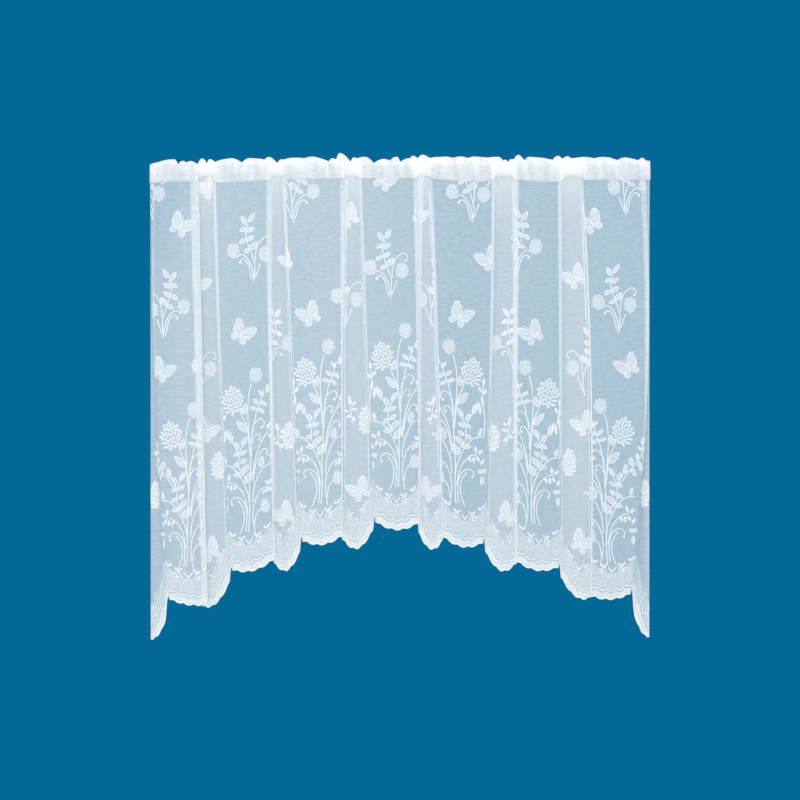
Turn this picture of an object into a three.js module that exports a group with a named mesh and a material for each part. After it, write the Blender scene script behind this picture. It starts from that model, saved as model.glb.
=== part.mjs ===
// A net curtain of the jardiniere kind: a sheer knitted cloth with a lace hem that arches up in the
// middle, gathered along the slot in its heading. Each deep fold of the cloth is an S in plan: a
// broad breadth in front, a turn, a narrower breadth behind it, and a turn back. The hem has one
// scallop for each breadth, and the scallops of the narrow breadths hang lower, as tongues.
import * as THREE from 'three';

// Driving dimensions in millimetres. X runs along the slot, -Y faces the viewer, Z is up, and the
// origin is the middle of the slot.
const CLOTH = 1.2;
const HALF_WIDTH = 550;
const CASING_LOW = -17.4;
const CASING_HIGH = 17.4;
const PIECE_GAP = 0.3;
const SCALLOP_PITCH = 105;
const END_SCALLOP = 80;
const TEETH_PER_SCALLOP = 5;
const TOOTH_DEPTH = 2.8;

// Half the depth of the folds, front to back, at shares of the drop.
const FOLD_DEPTH = [
  { down: 0, depth: 5 },
  { down: 0.06, depth: 8 },
  { down: 0.16, depth: 10.5 },
  { down: 1, depth: 14 },
];
// A breadth bows out past the folds' depth by this share of it.
const FRONT_BOW = 0.22;
const BACK_BOW = 0.1;

// The turns of the cloth, from left to right.
// way: the side that the cloth steps to. edge: x of the front layer's edge at the heading, halfway
// down and at the hem. lap: how far the layers overlap at those heights, or how far they stand open
// if it is below 0. hem: height of the point between two scallops. belly: how far the scallop after
// that point hangs below the line to the next point. rise: where along it that line bends.
const TURNS = [
  { way: 'forward', edge: [-541, -537, -504], lap: [4, 2, -12], hem: -930, belly: 9, rise: 'even' },
  { way: 'back', edge: [-444, -433, -423], lap: [16, 16, 11], hem: -945, belly: 20, rise: 'late' },
  { way: 'forward', edge: [-411, -396, -367], lap: [5, 3, -9], hem: -867, belly: 20, rise: 'even' },
  { way: 'back', edge: [-286, -283, -275], lap: [9, 6, 3], hem: -836, belly: 46, rise: 'late' },
  { way: 'forward', edge: [-258, -240, -214], lap: [6, 3, -7], hem: -800, belly: 22, rise: 'even' },
  { way: 'back', edge: [-124, -126, -125], lap: [7, 3, 2], hem: -785, belly: 47, rise: 'late' },
  { way: 'forward', edge: [-90, -75, -54], lap: [6, 3, -6], hem: -756, belly: 25, rise: 'even' },
  { way: 'back', edge: [36, 40, 43], lap: [7, 3, 2], hem: -758, belly: 48, rise: 'early' },
  { way: 'forward', edge: [65, 82, 92], lap: [6, 3, 2], hem: -785, belly: 25, rise: 'even' },
  { way: 'back', edge: [207, 200, 182], lap: [4, 2, -7], hem: -804, belly: 42, rise: 'early' },
  { way: 'forward', edge: [249, 251, 253], lap: [12, 8, 3], hem: -841, belly: 21, rise: 'even' },
  { way: 'back', edge: [356, 354, 348], lap: [8, 3, -6], hem: -859, belly: 24, rise: 'early' },
  { way: 'forward', edge: [400, 418, 418], lap: [4, 4, 4], hem: -923, belly: 15, rise: 'even' },
  { way: 'back', edge: [539, 543, 505], lap: [9, 3, -12], hem: -916, belly: 2, rise: 'early' },
];
// The cloth's two side edges hang at the lowest points of the half scallops there.
const LEFT_END = { hem: -1025, belly: 2, rise: 'late' };
const RIGHT_END = { hem: -1020 };

// The ruffle's upper edge: at x it dips to the height dip, and then rises to crown before the next.
const RUFFLE = [
  { x: -550, dip: 16, crown: 29 }, { x: -488, dip: 18, crown: 26 }, { x: -467, dip: 21, crown: 26 },
  { x: -446, dip: 18, crown: 31 }, { x: -424, dip: 22, crown: 30 }, { x: -349, dip: 24, crown: 33 },
  { x: -270, dip: 20, crown: 32 }, { x: -156, dip: 24, crown: 43 }, { x: -110, dip: 24, crown: 29 },
  { x: -57, dip: 21, crown: 29 }, { x: -22, dip: 26, crown: 29 }, { x: 2, dip: 24, crown: 38 },
  { x: 66, dip: 30, crown: 34 }, { x: 150, dip: 30, crown: 33 }, { x: 238, dip: 23, crown: 38 },
  { x: 274, dip: 27, crown: 33 }, { x: 330, dip: 28, crown: 37 }, { x: 356, dip: 30, crown: 37 },
  { x: 396, dip: 29, crown: 33 }, { x: 477, dip: 27, crown: 31 }, { x: 517, dip: 26, crown: 30 },
  { x: 550, dip: 27, crown: 27 },
];

// Steps of the mesh.
const TURN_STEPS = 10;
const BREADTH_STEPS = 12;
const ROWS_DOWN = [0, 0.05, 0.16, 0.44, 0.72, 1];
const CASING_STEP = 11;

// The value at a share t of the drop of something known at the heading, halfway down and the hem.
function alongDrop([top, middle, low], t) {
  return top * (1 - t) * (1 - 2 * t) + 4 * middle * t * (1 - t) + low * t * (2 * t - 1);
}

function foldDepth(t) {
  const next = Math.max(1, FOLD_DEPTH.findIndex((row) => row.down >= t));
  const a = FOLD_DEPTH[next - 1];
  const b = FOLD_DEPTH[next];
  return a.depth + (b.depth - a.depth) * (t - a.down) / (b.down - a.down);
}

// One turn at a share t of the drop. Its middle runs across by reach while the cloth swings to one
// side and the other by swing, which makes the overlap.
function turnAt(row, t) {
  const lap = alongDrop(row.lap, t);
  const reach = 6 + Math.max(0, -lap);
  return {
    way: row.way,
    middle: alongDrop(row.edge, t) + (row.way === 'back' ? -lap / 2 : lap / 2),
    reach,
    swing: Math.max(0, lap / 2 + reach / 4),
  };
}

// The plan of the cloth at a share t of the drop, from its left side edge to its right one, with
// the place of the scallop points in that list.
function planAt(t) {
  const depth = foldDepth(t);
  const points = [];
  const scallopPoints = [0];
  const breadth = (from, to, front, startShare, endShare) => {
    const side = front ? -1 : 1;
    const bow = depth * (front ? FRONT_BOW : BACK_BOW);
    for (let i = 0; i < BREADTH_STEPS; i++) {
      const s = i / BREADTH_STEPS;
      const share = startShare + (endShare - startShare) * s;
      points.push([from + (to - from) * s, side * (depth + bow * Math.sin(Math.PI * share) ** 2)]);
    }
  };
  let x = -HALF_WIDTH;
  TURNS.forEach((row, index) => {
    const turn = turnAt(row, t);
    const fromFront = turn.way === 'back';
    breadth(x, turn.middle - turn.reach / 2, fromFront, index === 0 ? 0.5 : 0, 1);
    scallopPoints.push(points.length + TURN_STEPS / 2);
    for (let i = 0; i < TURN_STEPS; i++) {
      const s = i / TURN_STEPS;
      const across = s - 0.9 * Math.sin(4 * Math.PI * s) / (4 * Math.PI);
      const y = depth * (2 * across - 1) * (fromFront ? 1 : -1);
      points.push([turn.middle + turn.reach * (s - 0.5) + turn.swing * Math.sin(2 * Math.PI * s), y]);
    }
    x = turn.middle + turn.reach / 2;
  });
  breadth(x, HALF_WIDTH, false, 0, 0.5);
  points.push([HALF_WIDTH, depth * (1 + BACK_BOW)]);
  scallopPoints.push(points.length - 1);
  return { points, scallopPoints };
}

// How far each point of the hem's plan lies along its scallop, as a scallop's number and a share.
function sharesAlongScallops({ points, scallopPoints }) {
  const length = [0];
  for (let i = 1; i < points.length; i++) {
    const step = Math.hypot(points[i][0] - points[i - 1][0], points[i][1] - points[i - 1][1]);
    length.push(length[i - 1] + step);
  }
  return points.map((_, i) => {
    let scallop = 0;
    while (scallop < scallopPoints.length - 2 && i >= scallopPoints[scallop + 1]) scallop++;
    const start = length[scallopPoints[scallop]];
    const end = length[scallopPoints[scallop + 1]];
    return { scallop, share: (length[i] - start) / (end - start) };
  });
}

const SCALLOPS = [LEFT_END, ...TURNS];
const SCALLOP_ENDS = [...TURNS, RIGHT_END];

// Height of the hem at a share of a scallop: the line between its points, less its belly, less teeth.
function hemHeight({ scallop, share }) {
  const from = SCALLOPS[scallop];
  const to = SCALLOP_ENDS[scallop];
  const bends = { even: share, late: share ** 2, early: 1 - (1 - share) ** 2 };
  const line = from.hem + (to.hem - from.hem) * bends[from.rise];
  const isEnd = scallop === 0 || scallop === TURNS.length;
  const teeth = isEnd ? TEETH_PER_SCALLOP * END_SCALLOP / SCALLOP_PITCH : TEETH_PER_SCALLOP;
  const along = scallop === 0 ? 1 - share : share;
  const tooth = TOOTH_DEPTH * Math.abs(Math.sin(Math.PI * teeth * along));
  return line - from.belly * Math.sin(Math.PI * share) - tooth;
}

// Collects the vertices and faces of one solid.
class Faces {
  constructor() {
    this.positions = [];
    this.indices = [];
  }

  vertex(x, y, z) {
    this.positions.push(x, y, z);
    return this.positions.length / 3 - 1;
  }

  // The corners follow anticlockwise, seen from outside.
  quad(a, b, c, d) {
    this.indices.push(a, b, c, a, c, d);
  }

  mesh(name, material) {
    const geometry = new THREE.BufferGeometry();
    geometry.setAttribute('position', new THREE.Float32BufferAttribute(this.positions, 3));
    geometry.setIndex(this.indices);
    geometry.computeVertexNormals();
    const mesh = new THREE.Mesh(geometry, material);
    mesh.name = name;
    return mesh;
  }
}

// The sheet: its middle surface is the plan at each row down, and its two faces lie half the
// cloth's thickness to either side.
function clothSheet(material) {
  const faces = new Faces();
  const top = CASING_LOW - PIECE_GAP;
  const hem = sharesAlongScallops(planAt(1)).map(hemHeight);
  const rows = ROWS_DOWN.map((t) => {
    const { points } = planAt(t);
    return points.map(([x, y], i) => {
      const before = points[Math.max(0, i - 1)];
      const after = points[Math.min(points.length - 1, i + 1)];
      const run = [after[0] - before[0], after[1] - before[1]];
      const half = CLOTH / 2 / Math.hypot(...run);
      const z = top + (hem[i] - top) * t;
      return {
        front: faces.vertex(x + run[1] * half, y - run[0] * half, z),
        back: faces.vertex(x - run[1] * half, y + run[0] * half, z),
      };
    });
  });
  const lastRow = rows.length - 1;
  const lastPoint = rows[0].length - 1;
  for (let r = 0; r < lastRow; r++) {
    for (let i = 0; i < lastPoint; i++) {
      const [a, b, c, d] = [rows[r][i], rows[r + 1][i], rows[r + 1][i + 1], rows[r][i + 1]];
      faces.quad(a.front, b.front, c.front, d.front);
      faces.quad(a.back, d.back, c.back, b.back);
    }
    const [left, leftLow] = [rows[r][0], rows[r + 1][0]];
    const [right, rightLow] = [rows[r][lastPoint], rows[r + 1][lastPoint]];
    faces.quad(left.front, left.back, leftLow.back, leftLow.front);
    faces.quad(right.back, right.front, rightLow.front, rightLow.back);
  }
  for (let i = 0; i < lastPoint; i++) {
    const [a, b] = [rows[0][i], rows[0][i + 1]];
    const [c, d] = [rows[lastRow][i], rows[lastRow][i + 1]];
    faces.quad(a.back, a.front, b.front, b.back);
    faces.quad(c.front, c.back, d.back, d.front);
  }
  return faces.mesh('curtain_sheet', material);
}

// Height of the ruffle's upper edge.
function ruffleHeight(x) {
  const i = Math.min(RUFFLE.length - 2, Math.max(0, RUFFLE.findIndex((row) => row.x > x) - 1));
  const [a, b] = [RUFFLE[i], RUFFLE[i + 1]];
  const s = Math.min(1, Math.max(0, (x - a.x) / (b.x - a.x)));
  const line = a.dip + (b.dip - a.dip) * s;
  return line + (a.crown - (a.dip + b.dip) / 2) * Math.sin(Math.PI * s) ** 0.6;
}

// How far the gathers push a wall of the heading outwards at x: small waves, and a pleat where the
// cloth below turns.
const PLEAT_HEIGHT = 3.2;
const PLEAT_HALF_WIDTH = 7;
const WAVE_HEIGHT = 0.8;
function gatherAt(x) {
  const pleats = TURNS.map((row) => Math.exp(-(((x - row.edge[0]) / PLEAT_HALF_WIDTH) ** 2)));
  const waves = Math.sin(x / 7.3) * Math.sin(x / 31 + 1);
  return PLEAT_HEIGHT * Math.max(...pleats) + WAVE_HEIGHT * waves;
}

// The heading's section, as half depths at heights. The casing is a flat tube with a clear slot,
// and above the upper row of stitches its two walls lie together as the ruffle.
const OUTER_SECTION = [
  { z: CASING_LOW, half: 6.4, gathered: 0.2 },
  { z: CASING_LOW + 3, half: 8.2, gathered: 0.7 },
  { z: 0, half: 9, gathered: 1 },
  { z: CASING_HIGH - 3.5, half: 7.4, gathered: 0.9 },
  { z: CASING_HIGH, half: 2, gathered: 0.4 },
];
const SLOT_SECTION = [
  { z: -15.4, half: 4.6 },
  { z: -12, half: 6.6 },
  { z: 0, half: 7.4 },
  { z: 11, half: 6 },
  { z: 14, half: 3.2 },
];
const RUFFLE_HALF = 1.6;
const RUFFLE_SWAY = 2.4;

function slotHeading(material) {
  const faces = new Faces();
  const count = Math.round(2 * HALF_WIDTH / CASING_STEP);
  const stations = Array.from({ length: count + 1 }, (_, i) => -HALF_WIDTH + i * CASING_STEP);
  const rings = stations.map((x) => {
    const push = gatherAt(x);
    const crest = ruffleHeight(x);
    const sway = RUFFLE_SWAY * Math.sin(x / 11);
    const front = OUTER_SECTION.map((row) => [-(row.half + Math.max(0, push) * row.gathered), row.z]);
    const back = OUTER_SECTION.map((row) => [row.half + 0.6 * Math.max(0, push) * row.gathered, row.z]);
    const halfway = (CASING_HIGH + crest) / 2;
    const ruffle = [
      [0.5 * sway - RUFFLE_HALF, halfway], [sway - 0.6 * RUFFLE_HALF, crest],
      [sway + 0.6 * RUFFLE_HALF, crest], [0.5 * sway + RUFFLE_HALF, halfway],
    ];
    return {
      outer: [...front, ...ruffle, ...back.reverse()],
      slot: [
        ...SLOT_SECTION.map((row) => [-row.half, row.z]),
        ...SLOT_SECTION.map((row) => [row.half, row.z]).reverse(),
      ],
    };
  });
  const place = (ring, x) => ring.map(([y, z]) => faces.vertex(x, y, z));
  const outer = rings.map((ring, i) => place(ring.outer, stations[i]));
  const slot = rings.map((ring, i) => place(ring.slot, stations[i]));
  const skin = (loops, outwards) => {
    for (let i = 0; i < loops.length - 1; i++) {
      for (let j = 0; j < loops[i].length; j++) {
        const k = (j + 1) % loops[i].length;
        const [a, b, c, d] = [loops[i][j], loops[i + 1][j], loops[i + 1][k], loops[i][k]];
        if (outwards) faces.quad(a, b, c, d);
        else faces.quad(a, d, c, b);
      }
    }
  };
  skin(outer, true);
  skin(slot, false);
  for (const end of [0, count]) {
    const outline = rings[end].outer.map(([y, z]) => new THREE.Vector2(y, z));
    const hole = rings[end].slot.map(([y, z]) => new THREE.Vector2(y, z));
    const numbers = [...outer[end], ...slot[end]];
    for (const triangle of THREE.ShapeUtils.triangulateShape(outline, [hole])) {
      const [a, b, c] = triangle.map((corner) => numbers[corner]);
      const points = triangle.map((corner) => [...outline, ...hole][corner]);
      const turn = new THREE.Vector2().subVectors(points[1], points[0])
        .cross(new THREE.Vector2().subVectors(points[2], points[0]));
      const facesRight = turn > 0;
      if (facesRight === (end === count)) faces.indices.push(a, b, c);
      else faces.indices.push(a, c, b);
    }
  }
  return faces.mesh('slot_heading', material);
}

const NET = new THREE.MeshStandardMaterial({ color: 0xe4eef4, roughness: 0.8, metalness: 0 });
NET.transparent = true;
NET.opacity = 0.7;
NET.side = THREE.DoubleSide;
const GATHERED_NET = new THREE.MeshStandardMaterial({ color: 0xf3f8fb, roughness: 0.8, metalness: 0 });

const curtain = new THREE.Group();
curtain.add(clothSheet(NET), slotHeading(GATHERED_NET));

export default curtain;
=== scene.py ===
# %% [markdown]
# # Net curtain with knitted flowers and a scalloped lace border
#
# The real curtain is one width of white polyester net from a warp-knitting machine. Flowers, leaves,
# butterflies and the lace border are knitted into it with thicker yarn, so they lie in the cloth and
# fold with it. The top is turned over and stitched twice: the space between the two rows is the slot
# for a rod, and the cloth above the upper row stands up as a small ruffle.
#
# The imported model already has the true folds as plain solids. This script keeps those folds and adds
# what the eye sees: thin see-through net, the knitted figures, the border and the gathered heading.

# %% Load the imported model
from typing import NamedTuple

import bpy
import numpy as np
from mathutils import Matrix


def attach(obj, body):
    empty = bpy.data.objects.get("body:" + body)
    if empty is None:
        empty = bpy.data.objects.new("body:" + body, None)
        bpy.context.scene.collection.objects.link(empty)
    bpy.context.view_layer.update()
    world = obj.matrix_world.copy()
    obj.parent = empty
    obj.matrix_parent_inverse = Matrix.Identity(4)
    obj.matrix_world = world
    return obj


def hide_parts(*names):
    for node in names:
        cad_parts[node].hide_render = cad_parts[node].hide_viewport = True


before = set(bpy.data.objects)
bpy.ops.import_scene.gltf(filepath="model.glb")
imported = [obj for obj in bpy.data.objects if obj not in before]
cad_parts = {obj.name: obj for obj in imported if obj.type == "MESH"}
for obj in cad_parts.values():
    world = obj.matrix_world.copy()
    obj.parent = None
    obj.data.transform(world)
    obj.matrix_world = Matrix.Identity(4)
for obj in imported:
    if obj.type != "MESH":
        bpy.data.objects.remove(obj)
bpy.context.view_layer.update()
MM = 0.001

# %% [markdown]
# ## Camera
#
# The curtain is seen straight from the front. A long lens, far back, keeps the upright folds parallel.
# One picture pixel is 2.2 mm on the cloth, so 800 of them span 1.76 m.

# %% Camera
PICTURE_WIDTH = 1.76
LENS, SENSOR = 100, 36
MIDDLE_HEIGHT = -0.5003

camera_data = bpy.data.cameras.new("camera")
camera_data.lens = LENS
camera_data.sensor_width = SENSOR
camera = bpy.data.objects.new("camera", camera_data)
camera.location = (0, -PICTURE_WIDTH * LENS / SENSOR, MIDDLE_HEIGHT)
camera.rotation_euler = (np.pi / 2, 0, 0)
bpy.context.collection.objects.link(camera)
bpy.context.scene.camera = camera
print("camera at", tuple(camera.location))

# %% [markdown]
# ## Light
#
# White net only shows against something darker. A board behind it would hide the back of the curtain,
# so the deep blue is the colour of the world, and only for rays that the camera sends. All other
# rays see white, which is the soft light of a white studio from every side. One large lamp from the
# front, a little to the left and above, models the folds. White cloth in layers passes light on many
# times, so the light may bounce more often than it does in other scenes.

# %% Light
GROUND_COLOUR, LIGHT_COLOUR, LIGHT_STRENGTH = "#036896", "#fafdff", 0.93
LAMP_SIZE, LAMP_WATTS = 2.4, 36
LAMP_PLACE, LAMP_TURN = (-0.4, -3.4, 0.8), (69, 0, -7)  # metres and degrees
BOUNCES = {"transparent_max_bounces": 64, "max_bounces": 16, "diffuse_bounces": 12}


def linear(hex_colour):
    """Linear RGBA of an sRGB hex colour: c/12.92 where it is dark, else ((c + 0.055)/1.055)^2.4."""
    c = np.array([int(hex_colour[i:i + 2], 16) for i in (1, 3, 5)]) / 255
    return (*np.where(c <= 0.04045, c / 12.92, ((c + 0.055) / 1.055) ** 2.4), 1.0)


def add_node(tree, kind, inputs=(), **settings):
    """Adds a node with its settings. A socket given as an input's value is linked to it."""
    node = tree.nodes.new(kind)
    for name, value in settings.items():
        setattr(node, name, value)
    for name, value in dict(inputs).items():
        if isinstance(value, bpy.types.NodeSocket):
            tree.links.new(value, node.inputs[name])
        else:
            node.inputs[name].default_value = value
    return node


world = bpy.data.worlds.new("white_studio_with_blue_ground")
world.use_nodes = True
world.node_tree.nodes.clear()
ray = add_node(world.node_tree, "ShaderNodeLightPath")
ground = add_node(world.node_tree, "ShaderNodeBackground", {
    "Color": linear(GROUND_COLOUR), "Strength": 1.0})
soft_light = add_node(world.node_tree, "ShaderNodeBackground", {
    "Color": linear(LIGHT_COLOUR), "Strength": LIGHT_STRENGTH})
either = add_node(world.node_tree, "ShaderNodeMixShader", {
    0: ray.outputs["Is Camera Ray"], 1: soft_light.outputs[0], 2: ground.outputs[0]})
add_node(world.node_tree, "ShaderNodeOutputWorld", {"Surface": either.outputs[0]})
bpy.context.scene.world = world
bpy.context.scene.view_settings.view_transform = "Standard"
for setting, most in BOUNCES.items():
    setattr(bpy.context.scene.cycles, setting, most)

lamp_data = bpy.data.lights.new("large_soft_lamp", "AREA")
lamp_data.shape = "DISK"
lamp_data.size = LAMP_SIZE
lamp_data.energy = LAMP_WATTS
lamp = bpy.data.objects.new("large_soft_lamp", lamp_data)
lamp.location = LAMP_PLACE
lamp.rotation_euler = np.radians(LAMP_TURN)
bpy.context.collection.objects.link(lamp)
print(f"lamp of {LAMP_SIZE} m at {LAMP_PLACE}, white world at {LIGHT_STRENGTH}")

# %% [markdown]
# ## Floor
#
# The curtain hangs free, so the floor lies well below it and outside the main view. It is a plain pale
# disc that shows only when the camera looks down.

# %% Floor
FLOOR_HEIGHT, FLOOR_RADIUS = -1.9, 1.2
FLOOR_SURFACE = {"Base Color": linear("#dde2e4"), "Roughness": 0.9}


def set_sockets(node, values):
    """Sets values on a node's own sockets."""
    for name, value in values.items():
        node.inputs[name].default_value = value


bpy.ops.mesh.primitive_circle_add(vertices=96, radius=FLOOR_RADIUS, fill_type="NGON",
                                  location=(0, 0, FLOOR_HEIGHT))
floor = bpy.context.object
floor.name = "pale_floor"
floor_finish = bpy.data.materials.new("pale_matt_floor")
floor_finish.use_nodes = True
set_sockets(floor_finish.node_tree.nodes["Principled BSDF"], FLOOR_SURFACE)
floor.data.materials.append(floor_finish)
print("floor at", FLOOR_HEIGHT)

# %% [markdown]
# ## How a knitted finish is made
#
# The ground of such net has upright chains of stitches, the wales, with fine threads across. Both are
# under a millimetre apart on the real cloth. That is too fine for the picture, so the threads are
# drawn 2 to 4.4 mm apart and the wales 1.4 to 3.1 mm, as soft lines that change the colour a little
# and give the surface its relief. Two Wave textures make them, on the flat cloth's own places, so
# they follow the folds. A ray passes two surfaces of each layer, the front and the back of its thin
# sheet, so a sheet that covers the share c has an Alpha of 1 - sqrt(1 - c).

# %% How a knitted finish is made
WAVE_SPACING = 0.314  # metres between the lines of a Wave texture of scale 1
WALE_SPACING, WALE_WEIGHT = 0.7, 0.5  # of what the threads have
LINES_ON_AVERAGE, UNEVENNESS = 0.58, 0.95
PATCH = (0.014, 0.006)  # metres that a patch of unevenness spans, along and across the threads
RELIEF_DEPTH = 0.0004
YARN_SURFACE = {"Roughness": 0.55, "IOR": 1.57, "Sheen Weight": 0.25, "Sheen Roughness": 0.4}


def alpha_for(cover):
    """Alpha of each surface of a thin sheet that covers this share of what is behind it."""
    return 1 - (1 - cover) ** 0.5


def polyester_knit(name, light, shade, cover, across_mm, relief, lined=0.26, whiter=None):
    """White polyester yarn, knitted: threads across, wales and small unevenness between two whites.

    The lines are the threads' wave plus half the wales' wave. The two whites mix by 0.95 of the
    noise, plus lined times what the lines are over their average, plus the mesh attribute that
    whiter names. The noise is stretched along the threads, because one tight thread shows as a
    short line.
    """
    finish = bpy.data.materials.new(name)
    finish.use_nodes = True
    tree = finish.node_tree
    shader = tree.nodes["Principled BSDF"]
    place = add_node(tree, "ShaderNodeUVMap", uv_map="flat_cloth").outputs["UV"]
    threads = add_node(tree, "ShaderNodeTexWave", {
        "Vector": place, "Scale": WAVE_SPACING / (across_mm * MM), "Distortion": 1.6, "Detail": 1.0,
        "Detail Scale": 0.3}, bands_direction="Y").outputs["Fac"]
    wales = add_node(tree, "ShaderNodeTexWave", {
        "Vector": place, "Scale": WAVE_SPACING / (WALE_SPACING * across_mm * MM), "Distortion": 0.8,
        "Detail": 1.0, "Detail Scale": 0.5}, bands_direction="X").outputs["Fac"]
    stretched = add_node(tree, "ShaderNodeVectorMath", {
        0: place, 1: (1 / PATCH[0], 1 / PATCH[1], 1.0)}, operation="MULTIPLY").outputs[0]
    uneven = add_node(tree, "ShaderNodeTexNoise", {
        "Vector": stretched, "Scale": 1.0, "Detail": 2.0, "Roughness": 0.6}).outputs["Fac"]
    lines = add_node(tree, "ShaderNodeMath", {
        0: wales, 1: WALE_WEIGHT, 2: threads}, operation="MULTIPLY_ADD").outputs[0]
    knit = add_node(tree, "ShaderNodeMath", {
        0: lines, 1: lined, 2: -LINES_ON_AVERAGE * lined}, operation="MULTIPLY_ADD").outputs[0]
    tone = add_node(tree, "ShaderNodeMath", {
        0: uneven, 1: UNEVENNESS, 2: knit}, operation="MULTIPLY_ADD").outputs[0]
    if whiter:
        more = add_node(tree, "ShaderNodeAttribute", attribute_name=whiter).outputs["Fac"]
        tone = add_node(tree, "ShaderNodeMath", {0: tone, 1: more}, operation="ADD").outputs[0]
    white = add_node(tree, "ShaderNodeMix", {
        "Factor": tone, "A": linear(shade), "B": linear(light)}, data_type="RGBA")
    tree.links.new(white.outputs[2], shader.inputs["Base Color"])
    bump = add_node(tree, "ShaderNodeBump", {
        "Height": lines, "Strength": relief, "Distance": RELIEF_DEPTH})
    tree.links.new(bump.outputs[0], shader.inputs["Normal"])
    set_sockets(shader, {**YARN_SURFACE, "Alpha": alpha_for(cover)})
    return finish


print("Alpha of a net that covers half:", round(alpha_for(0.5), 2))

# %% [markdown]
# ## Finishes
#
# Everything is the same white polyester yarn, so the finishes differ in how much of the yarn there is
# and how it lies. Plain net covers a little over half of what is behind it, so it is see-through. The
# lines of the figures are knitted densely and are nearly opaque. Petals are knitted a little more
# loosely, wings more loosely again, the fields inside the leaves are half dense, and the middle of a
# seed head is thin.
#
# Where the net is painted lighter it is also denser and hides more. This is painted light that lifts
# the shade on the narrow breadths behind and beside the folds, and most of all in the crease at a fold,
# where it also stands in for net seen edge on. The lace ground is a little more open than the net, and
# the bands of the border are dense. The cord along the hem is thick bright yarn. The heading lies in
# many layers: white where it is bunched and a cooler white elsewhere, and on the ruffle the cooler
# patches are painted shade of its folded bits.

# %% Finishes
# the single net is whiter or darker by the painted light across it
NET = polyester_knit("polyester_net_single", "#fbffff", "#c4dbe3", 0.60, 3.4, 0.6, whiter="painted_light_across")
# painted light: the narrow breadths that hang behind are whiter and denser, to lift the shade they lie
# in
NET_BEHIND = polyester_knit(
    "polyester_net_painted_light_behind", "#fdffff", "#cddee5", 0.67, 3.8, 0.6, whiter="drawn_up_and_painted_light")
# painted light: net beside a fold, whiter and denser to lift the shade there
NET_BESIDE = polyester_knit(
    "polyester_net_painted_light_beside_a_fold", "#ffffff", "#e6f0f3", 0.84, 4.4, 0.5)
# painted light: the bright line at a fold, denser and whiter than the net, which also stands in for net
# seen edge on
CREASE = polyester_knit("polyester_net_painted_bright_at_a_fold", "#ffffff", "#f7f6fa", 0.96, 4.4, 0.4)
THIN_KNIT = polyester_knit("thin_figured_knit", "#ffffff", "#e8f1f6", 0.35, 3.2, 0.5)
HALF_KNIT = polyester_knit("half_dense_figured_knit", "#ffffff", "#e8f1f6", 0.54, 3.2, 0.5)
CLOSE_KNIT = polyester_knit("close_figured_knit", "#ffffff", "#f1f4f9", 0.71, 3.2, 0.4)
PETAL_KNIT = polyester_knit("petal_figured_knit", "#ffffff", "#eff4f8", 0.85, 3.0, 0.3)
FIGURE_KNIT = polyester_knit("dense_figured_knit", "#ffffff", "#f2f7fa", 0.90, 3.0, 0.3)
LACE_GROUND = polyester_knit("lace_ground_knit", "#ffffff", "#dfeaee", 0.50, 4.2, 0.6)
BORDER_KNIT = polyester_knit("dense_border_knit", "#ffffff", "#edf3f5", 0.83, 3.4, 0.5)
# the heading: whiter where bunched, with painted shade on the ruffle
GATHERED = polyester_knit(
    "gathered_net_of_the_heading", "#ffffff", "#d0dbe1", 0.80, 3.2, 0.2, lined=0.1, whiter="bunched_and_painted_shade")
YARN = polyester_knit("bright_edge_cord_yarn", "#ffffff", "#fbfdfe", 0.97, 2.0, 0.3)
print("finishes", [finish.name for finish in bpy.data.materials])

# %% [markdown]
# ## How the cloth is folded
#
# The curtain hangs as seven broad breadths in front and narrower ones that step back between them.
# Between two breadths the cloth turns in an S, seen from above. Where the S swings wide, three layers
# lie behind each other, and that is the bright upright band beside each panel.
#
# Each turn has a row in this table, in millimetres: the place of its outer edge at the top, halfway
# and at the hem; how far the layers lap there, where less than zero means that they stand apart; the
# height of the hem at the turn; the belly of the scallop after it; and how that scallop's line rises.
#
# The net shows below the seam of the casing and runs up a little way behind it. Down the drop the folds
# grow deeper, and each breadth bows a little towards its own side, the front ones more. Beside each
# turn a narrow strip of cloth gets painted light, wider at some turns than at others. The turns differ
# too: two are wide and get painted light as a whole, the loose ones have the bright crease only near
# the heading, and the two outermost are flat and have none.


# %% How the cloth is folded
class Turn(NamedTuple):
    """A turn and the scallop after it, in millimetres."""
    way: str
    edge: tuple
    lap: tuple
    hem: float
    belly: float
    rise: str


TURNS = [
    Turn("forward", (-541, -537, -504), (-1, -2, -12), -930, 9, "even"),
    Turn("back", (-444, -433, -423), (16, 16, 11), -945, 20, "late"),
    Turn("forward", (-411, -396, -367), (5, 3, -9), -867, 20, "even"),
    Turn("back", (-286, -283, -275), (9, 6, 3), -836, 46, "late"),
    Turn("forward", (-258, -240, -214), (6, 3, -7), -800, 22, "even"),
    Turn("back", (-124, -126, -125), (7, 3, 2), -785, 47, "late"),
    Turn("forward", (-90, -75, -54), (6, 3, -6), -756, 25, "even"),
    Turn("back", (36, 40, 43), (7, 3, 2), -758, 48, "early"),
    Turn("forward", (65, 82, 92), (6, 3, 2), -785, 25, "even"),
    Turn("back", (207, 200, 182), (4, 2, -7), -804, 42, "early"),
    Turn("forward", (249, 251, 253), (12, 8, 3), -841, 21, "even"),
    Turn("back", (356, 354, 348), (8, 3, -6), -859, 24, "early"),
    Turn("forward", (400, 418, 418), (4, 4, 4), -923, 15, "even"),
    Turn("back", (539, 543, 505), (9, 3, -12), -916, 2, "early"),
]
LEFT_EDGE = Turn("", (), (), -1025, 2, "late")  # the cut edge, where the first scallop starts
SCALLOPS = [LEFT_EDGE] + TURNS
HEM_ENDS = [row.hem for row in TURNS] + [-1020]
HALF_WIDTH = 550
SEAM, TOP = -17.7, -5.0
TUCKED_UP = TOP - SEAM
DEPTH_AT = ((0, 0.06, 0.16, 1), (5, 8, 10.5, 14))  # shares of the drop, half depths of the folds
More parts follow.
